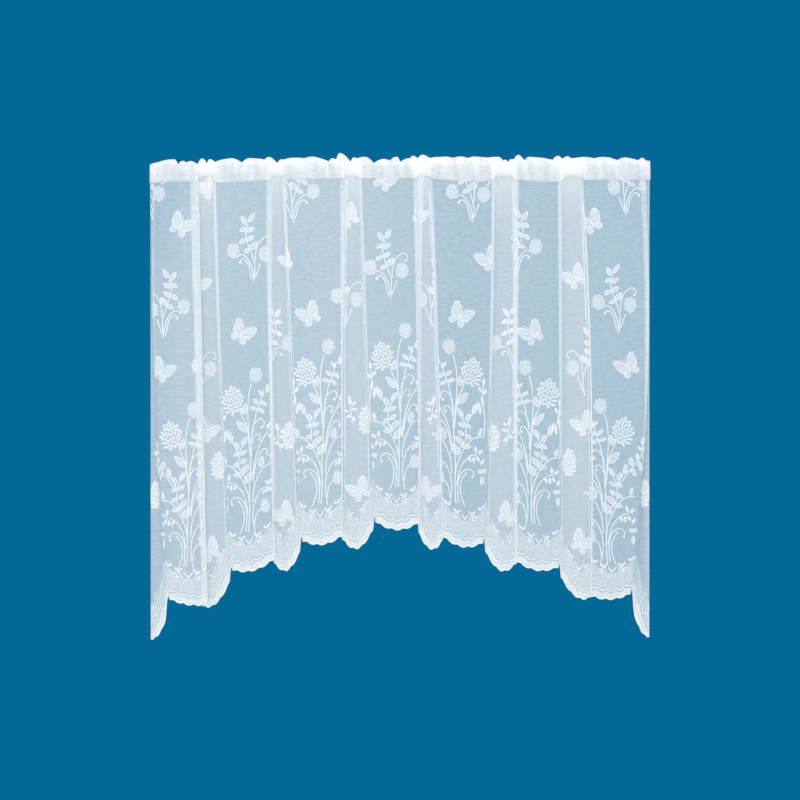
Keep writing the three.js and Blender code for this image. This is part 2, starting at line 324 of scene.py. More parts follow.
FRONT_BOW, BACK_BOW = 0.22, 0.1
# millimetres of painted light beside each turn, near the heading
PAINTED_STRIP_WIDTHS = (1, 2, 1, 5, 1, 8, 1, 15, 2, 2, 3, 2, 2, 1)
LOOSE_TURNS, FLAT_TURNS, WIDE_TURNS = (2, 4, 6, 9, 11), (0, 13), (1, 10)
CREASED_TO = 0.18  # share of the drop to which a loose turn has its crease
TEETH, TOOTH_DEPTH = 5, 3.8
SCALLOP_PITCH, END_SCALLOP = 105, 80
print("turns", len(TURNS), "scallops", len(SCALLOPS))

# %% [markdown]
# ## The cloth as a surface of two parameters
#
# A column is a line down the cloth, and t is the share of its drop, from the heading to the hem. The
# plan gives x and y of every column at any t. Turns and breadths follow each other across, so the
# columns are laid out part by part, and each part is worked out for all its columns and rows at once.

# %% Plan of the folds
TURN_STEPS, BREADTH_STEPS = 22, 26
LEAST_REACH, STEEPNESS = 6, 0.9


class Part(NamedTuple):
    """A breadth or a turn, by its number from the left, its columns and how far along each one is."""
    number: int
    is_turn: bool
    columns: slice
    shares: np.ndarray


PARTS = []
for i in range(2 * len(TURNS) + 1):
    start = PARTS[-1].columns.stop if PARTS else 0
    steps = TURN_STEPS if i % 2 else BREADTH_STEPS
    shares = np.linspace(0, 1, steps, endpoint=i == 2 * len(TURNS))
    PARTS.append(Part(i // 2, bool(i % 2), slice(start, start + steps), shares))
COLUMNS = PARTS[-1].columns.stop


def along_drop(values, t):
    """Parabola through the values at the heading (t=0), halfway (t=0.5) and the hem (t=1)."""
    top, middle, low = values
    return top * (1 - t) * (1 - 2 * t) + 4 * middle * t * (1 - t) + low * t * (2 * t - 1)


def fold_depth(t):
    """Half of the distance from the front breadths to the back ones."""
    return np.interp(t, *DEPTH_AT)


def turn_plan(turn, s, t):
    """x and y on a turn, at share s of its way.

    x runs across by reach and swings aside by swing * sin(2 pi s); y goes from one side to the
    other as s - 0.9 sin(4 pi s)/(4 pi) does, which is steep at the two outer edges of the S.
    """
    lap = along_drop(turn.lap, t)
    reach = LEAST_REACH + np.maximum(0, -lap)
    middle = along_drop(turn.edge, t) + (-lap / 2 if turn.way == "back" else lap / 2)
    swing = np.maximum(0, lap / 2 + reach / 4)
    across = s - STEEPNESS * np.sin(4 * np.pi * s) / (4 * np.pi)
    x = middle + reach * (s - 0.5) + swing * np.sin(2 * np.pi * s)
    return x, fold_depth(t) * (2 * across - 1) * (1 if turn.way == "back" else -1)


def plan(t):
    """x and y of all columns, where t has a row for each level and a column for each column.

    A breadth runs straight from one turn to the next and bows outwards by bow * sin^2.
    """
    x, y = np.empty_like(t), np.empty_like(t)
    for number, is_turn, columns, s in PARTS:
        here = t[:, columns]
        if is_turn:
            x[:, columns], y[:, columns] = turn_plan(TURNS[number], s, here)
            continue
        left = turn_plan(TURNS[number - 1], 1, here)[0] if number else -HALF_WIDTH
        right = turn_plan(TURNS[number], 0, here)[0] if number < len(TURNS) else HALF_WIDTH
        front = number % 2 == 1
        share = 0.5 + s / 2 if number == 0 else s / 2 if number == len(TURNS) else s
        bow = (FRONT_BOW if front else BACK_BOW) * np.sin(np.pi * share) ** 2
        x[:, columns] = left + (right - left) * s
        y[:, columns] = (-1 if front else 1) * fold_depth(here) * (1 + bow)
    return x, y


def arc_lengths(x, y):
    """Length of the cloth from its left edge to each column, along each row."""
    steps = np.hypot(np.diff(x, axis=1), np.diff(y, axis=1))
    return np.hstack((np.zeros((len(x), 1)), np.cumsum(steps, axis=1)))


print(f"{COLUMNS} columns in {len(PARTS)} parts")

# %% [markdown]
# ## The hem
#
# There is a scallop to each breadth, and it joins the next one in the middle of a turn. The line from
# joint to joint changes evenly, late or early. The scallop hangs below it by its belly, and five
# small teeth follow the edge. They are a millimetre deeper here than on the plain solid, because the
# cord along the edge fills them a little.

# %% Hem line
HEM_ARC = arc_lengths(*plan(np.ones((1, COLUMNS))))[0]
TURN_MIDDLES = [part.columns.start + TURN_STEPS // 2 for part in PARTS if part.is_turn]
JOINTS = np.array([0, *TURN_MIDDLES, COLUMNS - 1])
JOINT_ARC = HEM_ARC[JOINTS]
WIDTHS = np.diff(JOINT_ARC)


def hem_line(place, teeth=1.0):
    """Height of the hem at a place along it: the scallop's number plus the share s along it.

    It goes from the scallop's start to its end as s (even), s^2 (late) or 1 - (1-s)^2 (early), lower
    by belly * sin(pi s), and lower by 3.8 |sin(pi n s)| times teeth, where n is the number of teeth.
    """
    number = np.clip(np.floor(place), 0, len(SCALLOPS) - 1).astype(int)
    s = np.clip(place - number, 0, 1)
    start, end = (np.array(heights)[number] for heights in ([row.hem for row in SCALLOPS], HEM_ENDS))
    belly = np.array([row.belly for row in SCALLOPS])[number]
    rise = np.array([("even", "late", "early").index(row.rise) for row in SCALLOPS])[number]
    bend = np.choose(rise, (s, s ** 2, 1 - (1 - s) ** 2))
    at_end = (number == 0) | (number == len(SCALLOPS) - 1)
    count = TEETH * np.where(at_end, END_SCALLOP / SCALLOP_PITCH, 1)
    tooth = np.abs(np.sin(np.pi * count * np.where(number == 0, 1 - s, s)))
    return start + (end - start) * bend - belly * np.sin(np.pi * s) - teeth * TOOTH_DEPTH * tooth


HEM = hem_line(np.interp(HEM_ARC, JOINT_ARC, np.arange(len(JOINTS))))
print(f"hem {HEM_ARC[-1]:.0f} mm along the folds, scallops {WIDTHS.min():.0f} to {WIDTHS.max():.0f} mm")

# %% [markdown]
# ## Soft waves in the hanging cloth
#
# Below the heading the gathers run out into the cloth as small upright puckers, and the broad
# breadths are never quite flat. Both push the surface in and out, and both are sums of sine waves
# whose length changes a little along the cloth, so that no wave looks copied.
#
# The surface is then kept as a table: x, y and the outward direction of every column, every four
# millimetres down. All that is knitted into the cloth takes its place from this table.

# %% Table of the hung cloth
LEVEL_STEP, LOWEST_LEVEL = 4, 1040
LEVELS = np.arange(0, LOWEST_LEVEL, LEVEL_STEP, dtype=float)
PUCKER, GATHER, SLOW_WAVE = 0.7, 0.9, 1.3  # millimetres in and out
PUCKERS_FADE, GATHERS_FADE = 30, 80


def waves(arc, down):
    """Puckers 18 mm long and gathers 35 mm long that fade with exp(-d/fade), plus slow waves.

    d is the distance below the seam. A wave of length l is sin(2 pi arc/l), its phase swaying by
    a longer sine. The slow ones are 69 mm long and come and go down the drop. Above the seam,
    behind the casing, all of them fade out.
    """
    below = np.maximum(down - TUCKED_UP, 0)
    puckers = PUCKER * np.exp(-below / PUCKERS_FADE) * np.sin(arc / 2.9 + 1.7 * np.sin(arc / 23))
    gathers = GATHER * np.exp(-below / GATHERS_FADE) * np.sin(arc / 5.6 + 1.1 * np.sin(arc / 37 + 1))
    slow = SLOW_WAVE * np.sin(arc / 11 + 1.3 * np.sin(arc / 71) + down / 310)
    slow = slow * np.sin(down / 190 + arc / 160) ** 2
    return (puckers + gathers + slow) * np.clip(down / TUCKED_UP, 0, 1)


def hung(down):
    """x, y and the outward direction of each column at each row, down millimetres below the top."""
    t = np.clip((down - TUCKED_UP) / (SEAM - HEM), 0, 1)
    x, y = plan(t)
    run = np.gradient(x, axis=1), np.gradient(y, axis=1)
    length = np.hypot(*run)
    out_x, out_y = run[1] / length, -run[0] / length
    push = waves(np.broadcast_to(HEM_ARC, t.shape), down)
    return x + push * out_x, y + push * out_y, out_x, out_y


TABLE = np.stack(hung(np.broadcast_to(LEVELS[:, None], (len(LEVELS), COLUMNS))))
ARC = arc_lengths(TABLE[0], TABLE[1])
MILLIMETRES = np.arange(int(ARC.max()) + 2)
COLUMN_AT = np.array([np.interp(MILLIMETRES, row, np.arange(COLUMNS)) for row in ARC])
print("cloth across at the seam, halfway and the hem:", np.round(ARC[[0, len(LEVELS) // 2, -1], -1]))


def between(grid, row, column):
    """Value of a grid between its rows and columns, in proportion to the distance."""
    i = np.clip(np.floor(row), 0, grid.shape[-2] - 2).astype(int)
    j = np.clip(np.floor(column), 0, grid.shape[-1] - 2).astype(int)
    f, g = np.clip(row - i, 0, 1), np.clip(column - j, 0, 1)
    upper = (1 - g) * grid[..., i, j] + g * grid[..., i, j + 1]
    lower = (1 - g) * grid[..., i + 1, j] + g * grid[..., i + 1, j + 1]
    return (1 - f) * upper + f * lower


def on_cloth(column, z, lift):
    """Points on the hung cloth, lift millimetres in front of its middle surface."""
    x, y, out_x, out_y = between(TABLE, (TOP - z) / LEVEL_STEP, column)
    return np.stack((x + lift * out_x, y + lift * out_y, z), axis=-1)


# %% [markdown]
# ## Making a mesh from arrays
#
# Blender meshes take whole arrays of corner places and face corners. Every knitted figure is a thin
# closed slab: a small grid in front, the same grid behind, and a narrow wall round the edge. The list
# of faces is made once for a grid size and repeated for all slabs of that size.

# %% Mesh helpers
NET_THICKNESS = 0.5


def grid_faces(rows, columns):
    """Quads of a grid, anticlockwise for an eye that sees columns run right and rows run up."""
    at = np.arange(rows * columns).reshape(rows, columns)
    return np.stack((at[:-1, :-1], at[:-1, 1:], at[1:, 1:], at[1:, :-1]), axis=-1).reshape(-1, 4)


def slab_faces(rows, columns):
    """Quads of one closed slab: the front grid, the back grid turned over, and the wall between."""
    at = np.arange(rows * columns).reshape(rows, columns)
    front = grid_faces(rows, columns)
    edge = np.concatenate((at[0, :-1], at[:-1, -1], at[-1, :0:-1], at[:0:-1, 0]))
    following, behind = np.roll(edge, -1), rows * columns
    wall = np.stack((following, edge, edge + behind, following + behind), axis=-1)
    return np.concatenate((front, front[:, ::-1] + behind, wall))


class Layers:
    """Collects closed slabs and puts them into one mesh."""

    def __init__(self):
        self.corners, self.flat, self.faces, self.count = [], [], [], 0

    def add(self, front, back, flat, turned=False):
        """front and back: (slabs, rows, columns, 3); flat: the same places on the flat cloth."""
        slabs, rows, columns = front.shape[:3]
        both = np.stack((front, back), axis=1).reshape(-1, 3)
        faces = slab_faces(rows, columns)
        if turned:
            faces = faces[:, ::-1]
        starts = self.count + 2 * rows * columns * np.arange(slabs)
        self.corners.append(both)
        self.flat.append(np.repeat(flat[:, None], 2, axis=1).reshape(-1, 2))
        self.faces.append((faces[None] + starts[:, None, None]).reshape(-1, 4))
        self.count += len(both)

    def piece(self, name, finish, slot):
        """All the slabs as one piece."""
        piece = new_piece(name, np.concatenate(self.corners), np.concatenate(self.faces),
                          np.concatenate(self.flat), [finish])
        piece.data.shade_flat()
        return piece


def new_piece(name, corners_mm, faces, flat_mm, finishes, attributes=()):
    """A mesh object that rides on the curtain, with its flat cloth places as UV map, in metres.

    attributes gives a value for each corner place under a name that a finish reads.
    """
    mesh = bpy.data.meshes.new(name)
    mesh.vertices.add(len(corners_mm))
    mesh.vertices.foreach_set("co", (corners_mm * MM).astype(np.float32).ravel())
    mesh.loops.add(faces.size)
    mesh.loops.foreach_set("vertex_index", faces.astype(np.int32).ravel())
    mesh.polygons.add(len(faces))
    mesh.polygons.foreach_set("loop_start", np.arange(0, faces.size, 4, dtype=np.int32))
    mesh.update(calc_edges=True)
    mesh.uv_layers.new(name="flat_cloth")
    mesh.uv_layers[0].data.foreach_set("uv", (flat_mm[faces.ravel()] * MM).astype(np.float32).ravel())
    mesh.shade_smooth()
    for attribute, values in dict(attributes).items():
        added = mesh.attributes.new(attribute, "FLOAT", "POINT")
        added.data.foreach_set("value", values.astype(np.float32).ravel())
    for finish in finishes:
        mesh.materials.append(finish)
    piece = bpy.data.objects.new(name, mesh)
    bpy.context.collection.objects.link(piece)
    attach(piece, "root")
    print(f"{name}: {2 * len(faces)} triangles")
    return piece


def thicken(piece):
    """Solidify gives a sheet its thickness, half of it to each side."""
    solidify = piece.modifiers.new("thickness", "SOLIDIFY")
    solidify.thickness = NET_THICKNESS * MM
    solidify.offset = 0


print("quads in a slab of 7 by 3 places:", len(slab_faces(7, 3)))

# %% [markdown]
# ## The net itself
#
# The net is a grid of columns and rows on the folded surface, and Solidify gives it its thickness, as
# it does for any sheet of one thickness. It runs up behind the casing, where it is stitched in.
#
# The mesh has an attribute that makes the net whiter or less white by its place across: painted light,
# brighter on the left and falling off towards the right, and least white high in the left corner.
# Another attribute is for the narrow breadths just below the casing, where they are drawn up; it makes
# them whiter, partly as painted light that lifts the shade under the arches.

# %% The net
# painted light across the net: whiter on the left, darker towards the right
PAINTED_LIGHT_ACROSS = np.array([  # x, and how much whiter the net is there
    (-550, -0.15), (-537, -0.1), (-480, 0.06), (-330, -0.05), (-190, 0.03), (-30, -0.03), (130, -0.2),
    (290, -0.16), (450, -0.22), (537, -0.22), (550, 0.3)])
# the net is darker high in the left corner
DARKER_CORNER, CORNER_X, CORNER_WIDE, CORNER_FADE = 0.4, -525, 60, 160
DRAWN_UP_AND_LIGHT_FADE = 40
# Rows as shares of the drop, closer together near the heading and at the hem.
ROWS_DOWN = np.concatenate((np.linspace(0, 0.12, 14)[:-1], np.linspace(0.12, 0.94, 34)[:-1],
                            np.linspace(0.94, 1, 5)))
down = ROWS_DOWN[:, None] * (TOP - HEM)[None]
net_x, net_y, _, _ = hung(down)
net_corners = np.stack((net_x, net_y, TOP - down), axis=-1)
net_flat = np.stack((arc_lengths(net_x, net_y), -down), axis=-1)
net_faces = grid_faces(*down.shape)[:, ::-1]
corner = np.exp(-down / CORNER_FADE) * np.exp(-((net_x - CORNER_X) / CORNER_WIDE) ** 2)
# painted light across the net, and darker high in the left corner
painted_light_across = np.interp(net_x, *PAINTED_LIGHT_ACROSS.T) - DARKER_CORNER * corner
in_narrow_breadth = np.zeros(COLUMNS)
for part in PARTS:
    in_narrow_breadth[part.columns] = not part.is_turn and part.number % 2 == 0
# whiter just below the casing on the narrow breadths: partly cloth drawn up there, partly painted light
# that lifts the shade under the arches
drawn_up_and_painted_light = np.exp(-down / DRAWN_UP_AND_LIGHT_FADE) * in_narrow_breadth
net = new_piece("figured_net", net_corners.reshape(-1, 3), net_faces, net_flat.reshape(-1, 2),
                [NET, CREASE, NET_BEHIND, NET_BESIDE],
                {"painted_light_across": painted_light_across, "drawn_up_and_painted_light": drawn_up_and_painted_light})
thicken(net)
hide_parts("curtain_sheet")

# %% [markdown]
# ## Painted light at the folds
#
# Where the cloth turns it is seen edge on. Those faces get a denser, whiter finish, which is the bright
# line along every fold: it stands in for net seen edge on, and it is painted light that lifts the shade
# on faces turned sideways. A face counts as edge on where little of its width shows from the front. On
# the loose turns the line narrows and ends at about a sixth of the drop, and the two outermost turns
# have none. The loose turns and the two wide ones are painted lighter and denser as a whole. The narrow
# breadths between the turns are painted lighter and denser too, most of all beside the folds, but the
# two cut ones at the sides are not. Both are painted light that lifts the shade in these recesses and
# on faces turned away from the front.

# %% Painted light at the folds
PLAIN, CREASED, BEHIND, BESIDE = range(4)  # the net's material slots
CREASE_SHARE = 0.66
LEAST_BESIDE, BESIDE_FADE = 1.5, 0.3

finish_of = np.full((len(down) - 1, COLUMNS - 1), PLAIN, dtype=np.int32)
share_down = np.clip(down / (TOP - HEM), 0, 1)[:-1]
for part in PARTS[4:-4:4]:  # the narrow breadths between the turns
    x, faces_here = net_x[:-1, part.columns], finish_of[:, part.columns]
    # the whole narrow breadth gets painted light that lifts its shade
    faces_here[:] = BEHIND
    # beside each fold a strip gets painted light, wider near the heading
    for turn, edge in ((part.number - 1, x[:, :1]), (part.number, x[:, -1:])):
        painted_strip = PAINTED_STRIP_WIDTHS[turn] * np.exp(-share_down[:, part.columns] / BESIDE_FADE)
        beside = LEAST_BESIDE * (turn not in LOOSE_TURNS) + painted_strip
        faces_here[np.abs(x - edge) < beside] = BESIDE
run_x, run_y = np.diff(net_x, axis=1), np.diff(net_y, axis=1)
facing = np.abs(run_x) / np.hypot(run_x, run_y)
facing = np.maximum(facing[:-1], facing[1:])
creased = np.full(facing.shape, CREASE_SHARE)
for turn in WIDE_TURNS + LOOSE_TURNS + FLAT_TURNS:
    columns = PARTS[2 * turn + 1].columns
    if turn not in FLAT_TURNS:
        # the wide and loose turns get the same painted light as the breadths behind
        finish_of[:, columns] = BEHIND
    if turn not in WIDE_TURNS:
        fading = 1 - share_down[:, columns] / CREASED_TO
        # the oblique faces of the loose and flat turns get painted light, which lifts their shade
        finish_of[:, columns][facing[:, columns] < CREASE_SHARE * (1 + fading) / 2] = BESIDE
        creased[:, columns] = CREASE_SHARE * fading * (turn in LOOSE_TURNS)
edge_on = facing < creased
# the faces seen edge on get the painted bright line of a fold
finish_of[edge_on] = CREASED
net.data.polygons.foreach_set("material_index", finish_of.ravel())
print(f"creases: {edge_on.mean():.0%} of the faces")

# %% [markdown]
# ## Shapes in the flat cloth
#
# A figure is drawn in the flat, in millimetres from its foot, x to the right and z up, and is hung
# afterwards. Two shapes make nearly all of it. A blade runs from a base to a tip and is a leaf, a
# petal, a wing or a round, by how its width changes on the way. A strip is a line of yarn of one
# width along a smooth curve.

# %% Blades and strips
ROWS_PER_BLADE, STEPS_PER_POINT = 7, 4
BLUNT_END, LEAST_HALF_WIDTH = 0.03, 0.12
GOLDEN_ANGLE = 2.39996  # radians, 137.5 degrees


def half_width(kind, a):
    """Half width of a blade, as a share of its greatest, at a from 0 at the base to 1 at the tip.

    leaf: sin(pi a^0.85)^0.8, broadest before the middle. petal: sin(pi a^1.5)^0.6, broad near the
    tip. round: sqrt(1 - (2a-1)^2), an ellipse.
    """
    if kind == "leaf":
        return np.sin(np.pi * a ** 0.85) ** 0.8
    if kind == "petal":
        return np.sin(np.pi * a ** 1.5) ** 0.6
    return np.sqrt(np.clip(1 - (2 * a - 1) ** 2, 0, 1))


def blades(table, kind, across=(-1, 0, 1), rows=ROWS_PER_BLADE, rim=0.0):
    """Blades from rows of centre x, centre z, direction in degrees, length, width.

    across are the places over the width, as shares of the half width, and rim narrows them by
    that many millimetres. The rows follow (1 + sin(pi (u - 0.5)))/2, closest near the ends, with
    u from 0.03 to 0.97, so that the ends keep some width. Gives an array (blades, rows, places, 2).
    """
    x, z, angle, length, width = np.asarray(table, dtype=float).T[:, :, None, None]
    u = np.linspace(BLUNT_END, 1 - BLUNT_END, rows)
    a = (np.sin(np.pi * (u - 0.5)) * 0.5 + 0.5)[None, :, None]
    b = np.asarray(across, dtype=float)[None, None, :]
    along = (a - 0.5) * length
    aside = b * np.maximum(half_width(kind, a) * width / 2 - rim, LEAST_HALF_WIDTH)
    turn = np.radians(angle)
    return np.stack((x + along * np.cos(turn) + aside * np.sin(turn),
                     z + along * np.sin(turn) - aside * np.cos(turn)), axis=-1)


def outline(table, kind, rim):
    """The rims of blades: for each side, a strip as wide as rim along the edge."""
    inner, outer = blades(table, kind, (-1, 1), rim=rim), blades(table, kind, (-1, 1))
    left = np.stack((outer[:, :, 0], inner[:, :, 0]), axis=2)
    right = np.stack((inner[:, :, 1], outer[:, :, 1]), axis=2)
    return np.concatenate((left, right))


def smooth_path(points, count):
    """count places on the smooth curve through the points (Catmull-Rom)."""
    p = np.asarray(points, dtype=float)
    p = np.vstack((2 * p[0] - p[1], p, 2 * p[-1] - p[-2]))
    s = np.linspace(0, len(points) - 1, count)
    i = np.minimum(s.astype(int), len(points) - 2)
    f = (s - i)[:, None]
    a, b, c, d = p[i], p[i + 1], p[i + 2], p[i + 3]
    return b + 0.5 * f * (c - a + f * (2 * a - 5 * b + 4 * c - d + f * (3 * (b - c) + d - a)))


def strip(points, width):
    """A strip along the curve through the points: each place moved half the width to both sides."""
    path = smooth_path(points, STEPS_PER_POINT * (len(points) - 1) + 1)
    run = np.gradient(path, axis=0)
    side = np.stack((run[:, 1], -run[:, 0]), axis=-1) / np.linalg.norm(run, axis=1, keepdims=True)
    half = side * width / 2
    return np.stack((path - half, path + half), axis=1)[None]


def fan(count):
    """Places of count things spread evenly over a round, each turned 137.5 degrees from the last."""
    i = np.arange(count)
    radius, angle = np.sqrt((i + 0.5) / count), i * GOLDEN_ANGLE
    return radius * np.cos(angle), radius * np.sin(angle)


for kind in ("leaf", "petal", "round"):
    print(f"a {kind} has {half_width(kind, 0.5):.2f} of its greatest half width at its middle")

# %% [markdown]
# ## Leaves, dahlias and seed heads
#
# A leaf has a dense rim and a middle vein on a half-dense ground. The dahlia is a round of petals that
# all point away from where the stem comes in, and they lap a little like scales. The seed head is a
# loose ball of short strokes that stand out from its middle, over a thin round. Yarn spreads in the
# cloth, so leaves are drawn a tenth wider than their tables say.

# %% Leaves, dahlias and seed heads
STEM_WIDTH, RIM_WIDTH, VEIN_WIDTH = 2.2, 2.3, 1.3
SPREAD, VEIN_SHARE = 1.1, 0.8
PETAL_LENGTH, PETAL_WIDTH = 9.4, 6.0
PETALS_FROM, PETAL_REACH = 0.34, (0.43, 0.44)  # shares of the flower's width and height
STROKE_REACH, STROKE_SHARE, STROKE_WIDTH, HEAD_GROUND = 0.42, 0.078, 2.8, 0.9


def stems(paths):
    """Strips in dense knit, each along the curve through its points."""
    return [("dense", strip(path, STEM_WIDTH)) for path in paths]


def knots(table):
    """Small rounds in dense knit, as at the ends of tendrils."""
    return [("dense", blades(table, "round", rows=5))]


def thin_round(x, z, wide, high):
    """The thin ground under a flower, finely stepped across so that it lies close to the cloth."""
    return [("thin", blades([(x, z, 90, high, wide)], "round", np.linspace(-1, 1, 7), rows=9))]


def leaves(table, rim=RIM_WIDTH):
    """Half-dense ground, and rim and vein in dense knit."""
    table = np.array(table, dtype=float) * (1, 1, 1, 1, SPREAD)
    veins = table.copy()
    veins[:, 3] *= VEIN_SHARE
    veins[:, 4] = VEIN_WIDTH
    return [("half", blades(table, "leaf")), ("dense", outline(table, "leaf", rim)),
            ("dense", blades(veins, "round", (-1, 1), rows=5))]


def dahlia(x, z, wide, high, stem_angle, petals=43, knit="petal"):
    """Petals at the places of a fan, each pointing away from the stem's side of the flower.

    They grow from 0.86 of their full size at the middle of the flower to 1.02 at its rim.
    """
    across, up = fan(petals)
    toward = np.radians(stem_angle)
    from_x, from_z = PETALS_FROM * wide * np.cos(toward), PETALS_FROM * high * np.sin(toward)
    px, pz = PETAL_REACH[0] * wide * across, PETAL_REACH[1] * high * up
    angle = np.degrees(np.arctan2(pz - from_z, px - from_x))
    size = 0.86 + 0.16 * np.hypot(across, up)
    table = np.stack((x + px, z + pz, angle, PETAL_LENGTH * size, PETAL_WIDTH * size), axis=-1)
    return [(knit, blades(table, "petal"))]


def seed_head(x, z, wide, high, strokes=38):
    """Short strokes that point outwards from the places of a fan, over a thin round."""
    across, up = fan(strokes)
    table = np.stack((x + STROKE_REACH * wide * across, z + STROKE_REACH * high * up,
                      np.degrees(np.arctan2(up * high, across * wide)),
                      np.full(strokes, STROKE_SHARE * (wide + high)), np.full(strokes, STROKE_WIDTH)),
                     axis=-1)
    ground = thin_round(x, z, HEAD_GROUND * wide, HEAD_GROUND * high)
    return ground + [("petal", blades(table, "leaf", rows=5))]


print("slabs in a leaf:", sum(len(shape) for _, shape in leaves([(0, 0, 90, 30, 12)])))

# %% [markdown]
# ## The large bouquet
#
# One bouquet stands on the border in each broad breadth: a dahlia, a seed head, leafy sprays, curled
# tendrils and grasses that arch over to both sides. The tables hold the places of its stems and leaves,
# read off as one would when drafting such a pattern on point paper. Its outermost flower and leaf spray
# come out on the narrow breadths, past the folds, so they are figures of their own. In the two
# outermost breadths a leafy branch lies spread out beside the dahlia. In the others the cloth turns
# away there, and the branch is drawn as the narrow upright one that shows.

# %% The large bouquet
BOUQUET_STEMS = [
    [(3, 0), (5, 30), (5.3, 61), (5, 100), (7.5, 157), (5, 184), (0, 228), (-11, 253), (-17, 272)],
    [(7, 120), (7.7, 157), (6, 184), (2, 239), (1.3, 275), (4, 305), (10, 328)],
    [(6, 50), (2, 82), (-8, 108), (-20, 128), (-36, 143), (-57, 147)],
    [(2, 40), (-3, 68), (-9, 84), (-18, 96), (-31, 106), (-44, 108)],
    [(-16, -4), (-8, 18), (-6.5, 38), (-11, 56), (-21, 70)],
    [(-3, 1), (-1, 21), (-1, 41), (-4, 58), (-11, 70), (-22, 76), (-31, 73), (-35, 67), (-33, 59)],
    [(18, -4), (15, 12), (13, 26), (12.7, 41), (15, 61), (24, 84), (36, 97), (46, 102)],
    [(16.5, 14), (18, 30), (22, 42), (31, 53)],
    [(12, 66), (14.5, 94), (21, 116), (34, 141), (52, 153)],
    [(13, 110), (14, 140), (18.6, 166), (30, 197), (46, 223)],
    [(8, 195), (12, 222), (20, 262), (27, 280), (36, 312)],
    [(9.5, 200), (10, 216), (13, 232), (20, 243), (30, 248.5), (37, 242), (37, 235), (32, 230)],
    [(9, 166), (9, 184), (11, 200), (18, 213), (25, 215), (29.5, 210), (27, 204)],
    [(15, 127), (17, 142), (22, 161), (31, 179), (38.7, 183), (44, 179), (43, 172)],
    [(0, 108), (-9, 127), (-18, 141), (-18.5, 158), (-19, 172), (-31, 195), (-36, 208)],
    [(-19, 172), (-12, 185), (-5, 200)],
]
BOUQUET_LEAVES = [  # centre x, centre z, direction, length, width
    (-12, 231.5, 133, 35, 14), (-6, 270, 80, 26, 10), (30, 305, 137, 18, 7), (44, 315, 84, 22, 7.5),
    (18.6, 287, 140, 18, 8.5), (36, 282, -40, 19, 8.5), (13, 271, 168, 18, 8.5),
    (31, 266, -38, 18, 8.5), (-36.5, 207, 97, 24, 10), (-23, 190, 118, 19, 10),
    (-6, 200, 57, 24, 10), (-24.5, 170, 215, 15, 8), (-8.5, 174, 32, 19, 9), (-24, 147, 212, 17, 9),
    (-8, 155, 38, 18, 9), (-4, 139, 50, 25, 12), (-20, 126, 190, 22, 11), (4, 120, 55, 32, 14),
    (-50, 157, 108, 19, 8), (31, 155, 80, 27, 12), (-40, 119, 80, 15, 6.5), (-27, 97, 244, 14, 6),
    (-36, 96, 262, 15, 6), (-45, 98, 236, 15, 6), (-51, 114, 136, 14, 7), (-55, 92, 120, 16, 6.5),
    (-50, 71, 10, 15, 9), (-61, 72, 205, 13, 8), (-54, 50, 275, 20, 8.5), (43, 93, 262, 15, 5.5),
    (36, 88, 250, 13, 5), (50, 95, 280, 14, 5.5), (50, 112, 62, 15, 5.5), (42, 110, 128, 13, 5),
    (60, 160, 40, 17, 8), (62, 143, -30, 17, 8), (70, 152, 10, 18, 8), (52, 168, 90, 15, 7),
    (47, 234, 60, 18, 7), (56, 226, 20, 16, 7), (52, 210, -40, 16, 7),
]
TENDRIL_ENDS = [
    (31.5, 229.5, 0, 6, 6), (26, 203, 0, 5.5, 5.5), (43, 171, 0, 5.5, 5.5), (-33, 58.5, 0, 5.5, 5.5),
]
UPRIGHT_STEM = [(-58, 147), (-60, 190), (-55, 225), (-58, 262)]
UPRIGHT_LEAVES = [
    (-58, 268, 96, 18, 6), (-50, 251, 60, 15, 6), (-61, 246, 120, 14, 6), (-55, 226, 80, 22, 6),
    (-49, 210, 84, 30, 6), (-42, 213, 96, 24, 6),
]
SPREAD_STEM = [(-19, 168), (-30, 181), (-42, 198), (-52, 210), (-65, 226), (-74, 243), (-75, 260)]
SPREAD_LEAVES = [
    (-49, 223, 80, 21, 11), (-63, 234, 80, 17, 8), (-55, 199, 242, 21, 9.5), (-69, 212, 250, 24, 9),
    (-79, 228, 250, 19, 8), (-84, 249, 125, 14, 6.5), (-68, 252, 60, 13, 6.5), (-75, 268, 98, 19, 8),
]
SPRAY_STEM = [(7, -30), (3, -12), (1, 4), (-1, 16)]
SPRAY_LEAVES = [
    (-1, 24, 105, 22, 8), (10, 3, 12, 15, 7), (-9, -1, 170, 12, 6), (-3, -12, 208, 14, 7.5),
    (9, -18, -50, 13, 7), (9, 16, 45, 13, 6),
]
FLOWERS = (leaves(BOUQUET_LEAVES) + dahlia(-32, 288, 53, 70, -45) + seed_head(18.5, 345, 33, 39)
           + seed_head(39, 58, 24, 36, strokes=36) + knots(TENDRIL_ENDS) + stems(BOUQUET_STEMS))
BOUQUET = FLOWERS + leaves(UPRIGHT_LEAVES) + stems([UPRIGHT_STEM])
END_BOUQUET = FLOWERS + leaves(SPREAD_LEAVES) + stems([SPREAD_STEM])
SIDE_FLOWER = dahlia(0, 0, 33, 68, 0, petals=35, knit="dense") + thin_round(0, 0, 29, 60)
SIDE_SPRAY = leaves(SPRAY_LEAVES, rim=1.8) + stems([SPRAY_STEM])
print("slabs in a bouquet:", sum(len(shape) for _, shape in BOUQUET))

# %% [markdown]
# ## The small sprig
#
# The sprigs between the bouquets have a spike of paired leaves, a seed head on each side and two
# small curls. Where one hangs on a narrow breadth, a fold often hides one side of it, so there are
# two more forms of the sprig, each without the seed head and the curl of that side.

